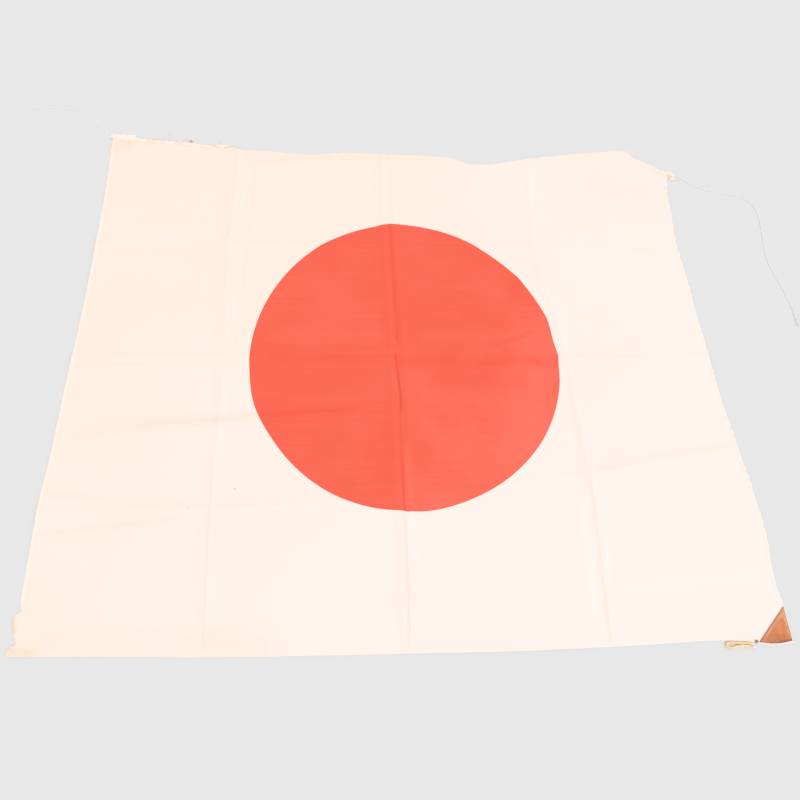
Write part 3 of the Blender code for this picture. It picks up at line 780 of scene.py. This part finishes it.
# A thin ochre line of painted shade along each crease in the cotton, over the painted light
field = (crease_shade * 0.28).mixed(shaded.mixed(field, COTTON_PAINTED_LIGHT), COTTON_OCHRE)
for x, y, width in SPECKS:
    field = round_spot(place, x, y, width).mixed(field, COTTON_BROWN)
slubs = place.stretched((9.0, 520.0, 1.0)).noise(1.0, detail=3.0, roughness=0.65)
threads = place.stretched((26.0, 1500.0, 1.0)).noise(1.0, detail=2.0)
clouds = place.noise(9.0, detail=3.0)
dye = (clouds * 0.7 + slubs * 0.6).rise(0.42, 0.88).mixed(DYE_DEEP, DYE_RED)
# Partly painted light, lighter towards the lower right where the light is stronger; partly real fading in
# clouds and along threads
worn = (place.part("X") * 1.5 + place.part("Y") * -1.5 + clouds * 0.7 + threads * 0.35).rise(0.60, 1.05)
dye = (worn * 0.85).mixed(dye, DYE_FADED_AND_LIT)
# Painted shade and painted light beside the folds, in the dye
dye = shaded.mixed((shaded * -1.0).mixed(dye, DYE_SHADED), DYE_PAINTED_LIGHT)
rim = paint.attribute("dye_edge")
dye = (rim.rise(-2.4 * MM, -0.4 * MM) * 0.45).mixed(dye, DYE_DEEP)
# A thin darker line of painted shade along each crease in the dye
dye = crease_shade.mixed(dye, DYE_CREASE_SHADE)
bled = (place.noise(1400.0, detail=2.0) - 0.5) * (0.9 * MM) + rim
weave = weave_height(place) * 0.5 + slubs * (SLUB_DEPTH / WEAVE_DEPTH)
set_shader(flag_cotton, Base_Color=bled.rise(-0.35 * MM, 0.35 * MM).mixed(dye, field),
           Normal=weave.bump(WEAVE_DEPTH), Roughness=0.92, Specular_IOR_Level=0.08)

bm = laid_grid(len(column_places), len(row_places), cloth_place)
thicken(bm, cloth_thick)
flag_cloth = add_object("flag_cloth", bm, flag_cotton)
points = np.array([vert.co for vert in flag_cloth.data.vertices])
x, y = points[:, 0], points[:, 1]
set_attribute(flag_cloth.data, "dye_edge", dye_distance(x, y))
set_attribute(flag_cloth.data, "crease_shade", sharp_lift(x, y)[1])
set_attribute(flag_cloth.data, "soil", bands_at(SOILED, 0.0, x, y))
set_attribute(flag_cloth.data, "shaded", bands_at(PAINTED_LIGHT_AND_SHADE, 28 * MM, x, y))
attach(flag_cloth, "root")
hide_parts("cloth")


# The side hems
# The cloth's two short sides are turned over twice and sewn. The right one is drawn up between its stitches
# into small scallops; the left one is straighter, and is open and gone beside the soiled corner tab.
HEM_WIDTH = 3.6 * MM
HEM_RISE = 0.3 * MM
HEM_STEP = 1.5 * MM
HEM_UNEVEN = 0.35           # its rise varies by this share
HEM_PLAIN = 0.42            # how full a hem without scallops is painted
LEFT_HEM_ENDS = (-298 * MM, 337 * MM)
RIGHT_HEM_ENDS = (-322 * MM, 287 * MM)
SCALLOP_PITCH = 11.5 * MM
SCALLOP_DEPTH = 1.5 * MM
SCALLOP_RISE = 0.3 * MM
SCALLOP_MEAN = 0.55         # the edge's own line runs at this share of a scallop
# Painted light on the hem's fuller parts, and painted shade in the notches at its stitches
HEM_PAINTED_LIGHT = (0.905, 0.812, 0.758, 1.0)
HEM_NOTCH_SHADE = (0.87, 0.76, 0.68, 1.0)
# The turned edge's section, from its inner line over the top and round under: shares of width and rise
HEM_SECTION = ((1.0, 0.0), (0.82, 0.3), (0.64, 0.72), (0.45, 0.97), (0.22, 1.0), (0.04, 0.85), (-0.07, 0.3),
               (-0.1, -0.5), (-0.04, -1.0), (0.3, -1.0), (1.0, -1.0))


def scallop(y):
    """How far along its scallop a place on the right edge is: 0 at a stitch and 1 at the fullest part."""
    uneven = np.array([noise.noise((value * 28, 7.0, 1.0)) for value in y])
    along = np.abs(np.sin(math.pi * (y / SCALLOP_PITCH + 0.9 * uneven)))
    return along * (0.75 + 0.5 * np.sin(y * 97 + 3 * uneven))


def make_hem(name, edge, ends, inwards, scallops, material):
    """A turned hem laid along an edge; inwards is 1 where the cloth is at its right and -1 at its left."""
    stations = round((ends[1] - ends[0]) / HEM_STEP) + 1
    shape = np.array(HEM_SECTION)

    def place(column, row):
        y = ends[0] + (ends[1] - ends[0]) * row / (stations - 1)
        full = scallop(y) * scallops
        corner = shape[column % len(shape)]
        out = line_at(edge, y) - inwards * (full - SCALLOP_MEAN * scallops) * SCALLOP_DEPTH
        x = out + inwards * corner[:, 0] * HEM_WIDTH
        uneven = np.array([noise.noise((0.0, value * 45, 3.0)) for value in y])
        low = cloth_lift(x, y)
        rise = HEM_RISE * (1 + HEM_UNEVEN * uneven) + SCALLOP_RISE * full
        top = CLOTH_THICK + rise * np.maximum(corner[:, 1], 0)
        share = np.minimum(corner[:, 1], 0) + 1
        return x, y, low + top * np.where(corner[:, 1] < 0, share, 1.0)

    bm = laid_grid(len(shape) + 1, stations, place)
    bmesh.ops.remove_doubles(bm, verts=bm.verts[:], dist=0.002 * MM)
    bmesh.ops.holes_fill(bm, edges=[edge for edge in bm.edges if edge.is_boundary], sides=0)
    bmesh.ops.recalc_face_normals(bm, faces=bm.faces[:])
    hem = add_object(name, bm, material)
    full = scallop(np.array([vert.co.y for vert in hem.data.vertices]))
    set_attribute(hem.data, "fullness", full if scallops == 1 else np.full(len(full), HEM_PLAIN))
    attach(hem, "root")
    return hem


hem_cotton, paint = new_material("hem_cotton")
place = paint.place()
fullness = paint.attribute("fullness")
yellowed = place.noise(60.0).rise(0.6, 0.9) * 0.2
# Painted light where the hem is fuller, and painted shade in its notches
colour = fullness.rise(0.15, 0.9).mixed(cotton_colour(place, yellowed), HEM_PAINTED_LIGHT)
colour = (fullness.rise(0.25, 0.05) * place.noise(90.0).rise(0.5, 0.65)).mixed(colour, HEM_NOTCH_SHADE)
set_shader(hem_cotton, Base_Color=colour, Normal=weave_height(place).bump(WEAVE_DEPTH), Roughness=0.92,
           Specular_IOR_Level=0.08)
left_hem = make_hem("left_hem", LEFT_EDGE, LEFT_HEM_ENDS, 1, 0.12, hem_cotton)
right_hem = make_hem("right_hem", RIGHT_EDGE, RIGHT_HEM_ENDS, -1, 1.0, hem_cotton)


# The frayed edge
# Along the upper left the selvedge has worn away to a band of loose weave, with yarn ends standing out of it,
# a tuft of the old red sewing thread and a shred of ochre cloth.
FRAY_ENDS = (-437.5 * MM, -252 * MM)
FRAY_BAND = ((-437.5, 9.0), (-404, 10.0), (-396, 4.5), (-350, 4.0), (-318, 5.5), (-300, 3.0), (-252, 2.0))
FRAY_STEP = 1.0 * MM
FRAY_ACROSS = 7
FRAY_THICK = 0.5 * MM
FRAY_LUMP = 0.9 * MM
FRAY_OVERLAP = 1.2 * MM     # the band starts this far inside the cloth's edge
FRAY_RAGGED = 0.4           # and its outer rim varies by this share
YARN_END_THICK = 0.4 * MM
YARN_END_COUNT = 110
YARN_END_LEAN = 38          # how far they lean to either side, in degrees
YARN_END_LENGTHS = (1.8, 6.0)
LOWEST_FIBRE = 0.3 * MM
LONG_YARN_LEAN = math.radians(102)
# Where each of the long yarn ends starts along the edge, and how far up its tip is
LONG_YARN_ENDS = ((-347.5, 357.5), (-342.8, 356.5), (-356, 346), (-403, 346.5), (-270.5, 343.5))
FRAY_CREAM = (0.925, 0.825, 0.75, 1.0)
FRAY_OCHRE = (0.91, 0.71, 0.57, 1.0)
SEWING_RED = (0.60, 0.13, 0.10, 1.0)
SEWING_DARK = (0.35, 0.10, 0.08, 1.0)
SEWING_PINK = (0.93, 0.66, 0.62, 1.0)
RED_TUFT = (-317.4, 336.6)
# The dark core of the tuft, then its faded rim: how many threads, their spread, height, length, curl and rise
RED_TUFT_RINGS = ((14, (1.0, 0.9), (0.9, 1.4), (1.2, 2.6), 2.4, 0.2),
                  (46, (2.3, 1.6), (0.6, 1.1), (1.4, 3.0), 1.6, 0.0))
RED_ENDS_COUNT = 8
RED_ENDS_START = -312
RED_ENDS_PITCH = 4.1
RED_THREAD = 0.3 * MM
SHRED_ENDS = (-279, -260)
SHRED_WIDTH = (0.5, 4.5)
SHRED_COUNT = 110
SHRED_YARN = 0.7 * MM
SHRED_ORANGE = (0.98, 0.80, 0.62, 1.0)

frayed_cotton, paint = new_material("frayed_cotton")
place = paint.place()
patchy = place.noise(70.0, detail=4.0).rise(0.35, 0.72)
loose = place.stretched((1300.0, 500.0, 500.0)).noise(1.0, detail=3.0)
set_shader(frayed_cotton, Base_Color=patchy.mixed(FRAY_CREAM, FRAY_OCHRE), Normal=loose.bump(0.08 * MM),
           Roughness=0.95, Specular_IOR_Level=0.05)
chance = random.Random(5)


def fray_place(column, row):
    """A narrow band whose outer rim is ragged and whose middle is lumpy."""
    share = row / (FRAY_ACROSS - 1)
    x = FRAY_ENDS[0] + (FRAY_ENDS[1] - FRAY_ENDS[0]) * column / (fray_columns - 1)
    ragged = np.array([noise.noise((value * 190, 1.0, 0.0)) + 0.6 * noise.noise((value * 610, 2.0, 0.0))
                       for value in x])
    reach = line_at(FRAY_BAND, x) * (1 + FRAY_RAGGED * ragged)
    y = line_at(TOP_EDGE, x) - FRAY_OVERLAP + share * (reach + FRAY_OVERLAP)
    lumps = np.array([max(0.0, noise.noise((px * 120, py * 200, 5.0))) for px, py in zip(x, y)])
    lump = FRAY_LUMP * lumps * np.sin(math.pi * share)
    low = cloth_lift(x, np.minimum(y, line_at(TOP_EDGE, x)))
    return x, y, low + CLOTH_THICK * (1 - fade(share, 0.1, 0.5)) + lump


fray_columns = round((FRAY_ENDS[1] - FRAY_ENDS[0]) / FRAY_STEP) + 1
bm = laid_grid(fray_columns, FRAY_ACROSS, fray_place)
thicken(bm, lambda x, y: np.full(len(x), FRAY_THICK))
frayed_band = add_object("frayed_band", bm, frayed_cotton)
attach(frayed_band, "root")
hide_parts("frayed_edge")


def loose_strand(start, heading, length, curl, rise, points=7, stout=1.0):
    """A fine yarn end from a start in metres, that curls sideways and tapers to its tip."""
    place = Vector(start)
    strand = []
    for number in range(points):
        share = number / (points - 1)
        strand.append((place.copy(), stout * (1.0 - 0.55 * share)))
        turned = heading + curl * share
        step = length / (points - 1)
        place += Vector((math.cos(turned) * step, math.sin(turned) * step, rise * step * (1 - 1.7 * share)))
        place.z = max(place.z, LOWEST_FIBRE)
    return strand


strands = []
for _ in range(YARN_END_COUNT):
    x = chance.uniform(*FRAY_ENDS)
    out = float(line_at(FRAY_BAND, x)) * chance.uniform(0.5, 1.0)
    y = float(line_at(TOP_EDGE, x)) + out
    heading = math.radians(90 + chance.gauss(0, YARN_END_LEAN))
    length = chance.uniform(*YARN_END_LENGTHS) * MM
    strands.append(loose_strand((x, y, chance.uniform(0.5, 1.2) * MM), heading, length,
                                chance.uniform(-1.2, 1.2), chance.uniform(-0.1, 0.22)))
for start, tip in LONG_YARN_ENDS:
    base = float(line_at(TOP_EDGE, start * MM))
    foot = (start * MM, base, 0.8 * MM)
    strands.append(loose_strand(foot, LONG_YARN_LEAN, tip * MM - base, curl=0.08, rise=-0.02, points=10,
                                stout=2.2))
yarn_ends = strands_object("yarn_ends", strands, YARN_END_THICK, frayed_cotton)
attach(yarn_ends, "root")

sewing_thread, paint = new_material("red_sewing_thread")
place = paint.place()
fibres = place.noise(1500.0, detail=3.0)
faded = (round_gap(place, *RED_TUFT) + fibres * (1 * MM)).rise(1.6 * MM, 2.8 * MM)
colour = fibres.rise(0.3, 0.7).mixed(SEWING_RED, SEWING_DARK)
set_shader(sewing_thread, Base_Color=faded.mixed(colour, SEWING_PINK), Roughness=0.9, Specular_IOR_Level=0.1)
strands = []
for count, spread, heights, lengths, curl, rise in RED_TUFT_RINGS:
    for _ in range(count):
        x = chance.gauss(RED_TUFT[0], spread[0]) * MM
        y = chance.gauss(RED_TUFT[1], spread[1]) * MM
        start = (x, y, chance.uniform(*heights) * MM)
        heading = chance.uniform(0, math.tau)
        strands.append(loose_strand(start, heading, chance.uniform(*lengths) * MM, curl, rise))
for number in range(RED_ENDS_COUNT):
    x = (RED_ENDS_START + RED_ENDS_PITCH * number) * MM
    y = float(line_at(TOP_EDGE, x)) + (2.0 - 0.1 * number) * MM
    strands.append(loose_strand((x, y, 0.9 * MM), chance.gauss(-0.15, 0.15), 3.0 * MM, 0.3, 0.1, 4))
red_thread_ends = strands_object("red_thread_ends", strands, RED_THREAD, sewing_thread)
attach(red_thread_ends, "root")


def fibre_material(name, fineness, detail, turn, colours, roughness, gloss):
    """Fine fibres in two colours; the second takes over as their noise goes through turn."""
    material, paint = new_material(name)
    fibres = paint.place().noise(fineness, detail=detail)
    set_shader(material, Base_Color=fibres.rise(*turn).mixed(*colours), Roughness=roughness,
               Specular_IOR_Level=gloss)
    return material


shred_cotton = fibre_material("ochre_shred", 900.0, 3.0, (0.3, 0.75), (SHRED_ORANGE, FRAY_CREAM), 0.95, 0.05)
strands = []
for _ in range(SHRED_COUNT):
    x = chance.uniform(*SHRED_ENDS) * MM
    y = float(line_at(TOP_EDGE, x)) + chance.uniform(*SHRED_WIDTH) * MM
    start = (x, y, chance.uniform(1.0, 1.25) * MM)
    heading = chance.choice((0.0, math.pi)) + chance.gauss(0, 0.25)
    length = chance.uniform(3.0, 6.0) * MM
    strands.append(loose_strand(start, heading, length, chance.uniform(-0.5, 0.5), 0.0))
ochre_shred = strands_object("ochre_shred", strands, SHRED_YARN, shred_cotton)
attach(ochre_shred, "root")


# The corner patch
# A triangle of thin brown leather sewn over the lower right corner, dark and worn at its rim, with a row of
# stitches along each side.
PATCH_TOP = (411.0, -324.5)
PATCH_TIP = (372.5, -358.8)
PATCH_BOW = 2.0             # how far its lower side bows out, in millimetres
PATCH_BOW_STEPS = 6
PATCH_THICK = 1.1 * MM
PATCH_BEVEL = 0.35 * MM     # how far its rim is rubbed down, and over what width
PATCH_BEVEL_WIDTH = 0.6 * MM
PATCH_CROWN = 0.35 * MM     # how much higher it is than at its rim, from this far inside
PATCH_CROWN_REACH = 5 * MM
PATCH_DENT = 0.22 * MM
PATCH_SLICES = 26
PATCH_BROWN = (0.745, 0.272, 0.103, 1.0)
PATCH_DARK = (0.56, 0.178, 0.066, 1.0)
PATCH_RIM = (0.27, 0.09, 0.048, 1.0)
PATCH_ROSE = (0.82, 0.40, 0.24, 1.0)
PATCH_OCHRE = (0.84, 0.47, 0.20, 1.0)
STITCH_INSET = 2.1
STITCH_PITCH = 2.7
STITCH_LENGTH = 1.5
STITCH_THICK = 0.3 * MM
STITCH_PULL = 0.25 * MM     # how far the stitches pull the leather down
STITCH_ARCH = 0.2 * MM
STITCH_CLEAR = 6            # a row keeps this length clear at its corners, in all
THREAD_BROWN = (0.42, 0.17, 0.09, 1.0)
THREAD_WORN = (0.56, 0.29, 0.17, 1.0)

patch_leather, paint = new_material("patch_leather")
place = paint.place()
rim_gap = paint.attribute("rim_gap")
grain = place.node("ShaderNodeTexVoronoi", {"Vector": place, "Scale": 900.0}, feature="DISTANCE_TO_EDGE")
cloudy = place.noise(120.0, detail=4.0)
streaks = place.stretched((420.0, 45.0, 1.0)).noise(1.0, detail=3.0)
colour = (cloudy * 0.7 + streaks * 0.5).rise(0.4, 0.85).mixed(PATCH_DARK, PATCH_BROWN)
scuffed = (place.part("Y") + place.noise(260.0, detail=3.0) * (16 * MM)).rise(-334 * MM, -322 * MM)
colour = (scuffed * 0.7).mixed(colour, PATCH_ROSE)
# Along the long side the leather is rubbed to rose, and a hem under it shows as a pale line at the right
long_gap = paint.attribute("long_gap")
colour = (long_gap.rise(3.4 * MM, 2.4 * MM) * 0.75).mixed(colour, PATCH_ROSE)
right_gap = paint.attribute("right_gap") + cloudy * (1.0 * MM)
stripe = right_gap.rise(1.2 * MM, 1.9 * MM) * right_gap.rise(4.2 * MM, 2.8 * MM)
colour = (stripe * 0.7).mixed(colour, PATCH_OCHRE)
worn_rim = (rim_gap + cloudy * (1.0 * MM)).rise(1.9 * MM, 0.6 * MM)
low_end = (place.part("Y") + place.noise(300.0) * (5 * MM)).rise(-346 * MM, -357 * MM)
low_rim = (paint.attribute("low_gap") + cloudy * (0.8 * MM)).rise(3.8 * MM, 1.6 * MM)
low_rim = low_rim * place.part("X").rise(380 * MM, 404 * MM)
colour = (low_end * 0.3).mixed((worn_rim * 0.6).mixed(colour, PATCH_RIM), PATCH_RIM)
colour = (low_rim * 0.75).mixed(colour, PATCH_RIM)
set_shader(patch_leather, Base_Color=colour, Roughness=0.62, Specular_IOR_Level=0.3,
           Normal=(grain * 0.6 + cloudy * 0.4).bump(0.25 * MM))

corner, tip, top = (Vector(point) * MM for point in (PATCH_CORNER, PATCH_TIP, PATCH_TOP))
outline = [top, corner]
for step in range(1, PATCH_BOW_STEPS):
    share = step / PATCH_BOW_STEPS
    outline.append(corner.lerp(tip, share) - Vector((0, PATCH_BOW * MM * math.sin(math.pi * share))))
outline.append(tip)
bm = bmesh.new()
face = bm.faces.new([bm.verts.new((*point, CLOTH_THICK + 0.02 * MM)) for point in outline])
bmesh.ops.recalc_face_normals(bm, faces=[face])
for number in range(1, PATCH_SLICES):
    for near, far, normal in ((tip.x, top.x, (1, 0, 0)), (tip.y, top.y, (0, 1, 0))):
        at = near + (far + 2 * MM - near) * number / PATCH_SLICES
        cut = (at, 0, 0) if normal[0] else (0, at, 0)
        bmesh.ops.bisect_plane(bm, geom=bm.verts[:] + bm.edges[:] + bm.faces[:], plane_co=cut,
                               plane_no=normal, dist=0.01 * MM)
raised = bmesh.ops.extrude_face_region(bm, geom=bm.faces[:], use_keep_orig=True)["geom"]
sides = ((top, corner), (corner, tip), (tip, top))


def side_gaps(point):
    """How far a point is inside the patch's right, lower and long side."""
    gaps = []
    for start, end in sides:
        run = (end - start).normalized()
        gaps.append(abs((point.x - start.x) * run.y - (point.y - start.y) * run.x))
    bow = PATCH_BOW * MM * math.sin(math.pi * min(1.0, max(0.0, (corner.x - point.x) / (corner.x - tip.x))))
    gaps[1] = abs(point.y - corner.y - (tip.y - corner.y) * (corner.x - point.x) / (corner.x - tip.x) + bow)
    return gaps


for part in raised:
    if isinstance(part, bmesh.types.BMVert):
        gap = min(side_gaps(part.co))
        crown = PATCH_CROWN * min(1.0, gap / PATCH_CROWN_REACH)
        sewn_in = STITCH_PULL * math.exp(-((gap - STITCH_INSET * MM) / MM) ** 2)
        dent = PATCH_DENT * noise.noise(part.co * 190) - sewn_in
        rubbed = PATCH_BEVEL * max(0.0, 1 - gap / PATCH_BEVEL_WIDTH) ** 2
        part.co.z += PATCH_THICK - rubbed + crown + dent
bmesh.ops.recalc_face_normals(bm, faces=bm.faces[:])
leather_patch = add_object("leather_patch", bm, patch_leather)
gaps = np.array([side_gaps(vert.co) for vert in leather_patch.data.vertices])
set_attribute(leather_patch.data, "rim_gap", gaps.min(axis=1))
for side, name in enumerate(("right_gap", "low_gap", "long_gap")):
    set_attribute(leather_patch.data, name, gaps[:, side])
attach(leather_patch, "root")
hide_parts("corner_patch")


def stitch(start, end, arch):
    """One stitch: it comes up at its start, lies on the surface and goes down at its end."""
    steps = ((0.0, -0.9), (0.12, 0.5), (0.5, 1.0), (0.88, 0.5), (1.0, -0.9))
    return [(start.lerp(end, share) + Vector((0, 0, height * arch)), 0.8 + 0.2 * (height > 0))
            for share, height in steps]


dark_thread = fibre_material("dark_sewing_thread", 2200.0, 2.0, (0.3, 0.7), (THREAD_BROWN, THREAD_WORN), 0.8,
                             0.2)
middle = (top + corner + tip) / 3
strands = []
for start, end in sides:
    run = (end - start).normalized()
    inward = Vector((-run.y, run.x))
    if inward.dot(middle - start) < 0:
        inward = -inward
    length = (end - start).length
    count = int((length / MM - STITCH_CLEAR) / STITCH_PITCH)
    for number in range(count):
        at = start + run * ((length - (count - 1) * STITCH_PITCH * MM) / 2 + number * STITCH_PITCH * MM)
        at = at + inward * STITCH_INSET * MM
        height = CLOTH_THICK + PATCH_THICK - 0.02 * MM
        half = run * STITCH_LENGTH * MM / 2
        strands.append(stitch(Vector((*(at - half), height)), Vector((*(at + half), height)), STITCH_ARCH))
patch_stitches = strands_object("patch_stitches", strands, STITCH_THICK, dark_thread)
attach(patch_stitches, "root")


# The tie's knot
# The dark sewing thread that holds the tie at the patch's tip is wound round and pulled into a small knot.
KNOT_CENTRE = (369.2, -357.9)
KNOT_SIZE = (3.2, 3.0, 2.2)
KNOT_TURNS = 5
KNOT_STEPS = 24             # points on each turn
KNOT_THREAD = 0.55 * MM
KNOT_BROWN = (0.34, 0.17, 0.11, 1.0)
KNOT_WORN = (0.58, 0.38, 0.28, 1.0)

knot_thread = fibre_material("knot_sewing_thread", 1600.0, 2.0, (0.35, 0.65), (KNOT_BROWN, KNOT_WORN), 0.85,
                             0.15)
centre = Vector((KNOT_CENTRE[0] * MM, KNOT_CENTRE[1] * MM, CLOTH_THICK + KNOT_SIZE[2] * MM / 2 + 0.2 * MM))
radii = [(size * MM - KNOT_THREAD) / 2 for size in KNOT_SIZE]
wound = []
for number in range(KNOT_TURNS * KNOT_STEPS + 1):
    turn = math.tau * number / KNOT_STEPS
    lean = math.pi * number / (KNOT_TURNS * KNOT_STEPS)
    flat = Vector((math.cos(turn), math.sin(turn) * math.cos(lean), math.sin(turn) * math.sin(lean)))
    place = centre + Vector([a * b for a, b in zip(flat, radii)])
    wound.append((place, 1.0))
tails = [loose_strand(centre - Vector((0, 0, 0.4 * MM)), heading, length * MM, 0.9, -0.3)
         for heading, length in ((3.6, 3.0), (4.4, 2.4))]
sewing_knot = strands_object("sewing_knot", [wound, *tails], KNOT_THREAD, knot_thread, 2)
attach(sewing_knot, "root")
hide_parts("tie_knot")


# The scrap at the torn corner
# What is left of the upper right corner's patch: a red and pink scrap of cotton, half on the cloth's corner,
# with its own yarns pulled out, and a clump of brownish fibres beside it.
SCRAP_OUTLINE = ((411.5, 294.5), (415.5, 297.2), (421, 296.2), (428.5, 296), (431, 291.5), (434.5, 289),
                 (432, 285), (433.5, 280.5), (428, 278), (424.5, 281.5), (418.5, 284.5))
SCRAP_WORN_SIDE = ((411.5, 294.5), (418.5, 284.5))
SCRAP_LEFT = 411.5
SCRAP_LOW = 278.0
SCRAP_CUTS = 20
SCRAP_PITCH = 1.15
SCRAP_THICK = 0.4 * MM
SCRAP_WORN_THIN = 0.15      # what is left of its thickness at the worn side
SCRAP_WORN_REACH = 3 * MM
SCRAP_LUMP = 0.6 * MM
SCRAP_RAGGED = 0.5 * MM
SCRAP_RED_SPOT = (424.8, 285.2)
BROWN_TUFT = (435.5, 282.0)
SCRAP_TUFT = (424.5, 286.5)
TUFT_FIBRE = 0.26 * MM
SCRAP_FIBRE_THICK = 0.28 * MM
SCRAP_RED = (0.95, 0.66, 0.59, 1.0)
SCRAP_PINK = (0.93, 0.785, 0.69, 1.0)
SCRAP_FIBRE = (0.94, 0.83, 0.75, 1.0)

scrap_cotton, paint = new_material("scrap_cotton")
place = paint.place()
faded = round_gap(place, *SCRAP_RED_SPOT) + place.noise(330.0, detail=3.0) * (3 * MM)
faded = faded.rise(3.2 * MM, 6.5 * MM)
set_shader(scrap_cotton, Base_Color=faded.mixed(SCRAP_RED, SCRAP_PINK), Roughness=0.95,
           Specular_IOR_Level=0.05, Normal=place.noise(1500.0, detail=3.0).bump(0.25 * MM))


def scrap_body(x, y):
    """0 at the side that is worn thin on the cloth, and 1 a little inside it."""
    return fade(from_line(SCRAP_WORN_SIDE, x, y)[0], 0, SCRAP_WORN_REACH)


bm = bmesh.new()
face = bm.faces.new([bm.verts.new((x * MM, y * MM, 0.0)) for x, y in SCRAP_OUTLINE])
bmesh.ops.recalc_face_normals(bm, faces=[face])
if face.normal.z < 0:
    bmesh.ops.reverse_faces(bm, faces=[face])
for number in range(1, SCRAP_CUTS + 1):
    for normal, low in (((1, 0, 0), SCRAP_LEFT), ((0, 1, 0), SCRAP_LOW)):
        bmesh.ops.bisect_plane(bm, geom=bm.verts[:] + bm.edges[:] + bm.faces[:],
                               plane_co=Vector(normal) * (low + number * SCRAP_PITCH) * MM, plane_no=normal,
                               dist=0.01 * MM)
for vert in bm.verts:
    inside_right = float(line_at(RIGHT_EDGE, vert.co.y)) - vert.co.x
    inside_top = float(line_at(TOP_EDGE, vert.co.x)) - vert.co.y
    lift = float(cloth_lift(vert.co.x, vert.co.y)[0]) + CLOTH_THICK
    vert.co.z = 0.1 * MM + fade(min(inside_right, inside_top), -1.2 * MM, 0.2 * MM) * lift
    body = float(scrap_body(np.array([vert.co.x]), vert.co.y)[0])
    vert.co.z += SCRAP_LUMP * body * max(0.0, noise.noise(vert.co * 260) + 0.25)
    sideways = Vector((noise.noise(vert.co * 700), noise.noise(vert.co * 640 + Vector((3, 1, 2)))))
    vert.co.xy = vert.co.xy + sideways * SCRAP_RAGGED
thicken(bm, lambda x, y: SCRAP_THICK * (SCRAP_WORN_THIN + (1 - SCRAP_WORN_THIN) * scrap_body(x, y)))
torn_scrap = add_object("torn_scrap", bm, scrap_cotton)
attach(torn_scrap, "root")
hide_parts("patch_remnant")


def tuft(count, middle, spread, lengths):
    """Fine fibres lying every way round a place in millimetres."""
    strands = []
    for _ in range(count):
        start = (chance.gauss(middle[0], spread) * MM, chance.gauss(middle[1], spread) * MM,
                 chance.uniform(0.4, 2.0) * MM)
        strands.append(loose_strand(start, chance.uniform(0, math.tau), chance.uniform(*lengths) * MM,
                                    chance.uniform(-2.0, 2.0), chance.uniform(-0.2, 0.3)))
    return strands


scrap_fibre = fibre_material("scrap_fibre", 500.0, 3.0, (0.3, 0.7), (SCRAP_FIBRE, YARN_CREAM), 0.95, 0.05)
brown_tuft = strands_object("brown_tuft", tuft(40, BROWN_TUFT, 2.2, (2.0, 4.5)), TUFT_FIBRE, scrap_fibre)
red_tuft = strands_object("red_tuft", tuft(24, SCRAP_TUFT, 2.4, (2.0, 4.0)), SCRAP_FIBRE_THICK, scrap_cotton)
for piece in (brown_tuft, red_tuft):
    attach(piece, "root")
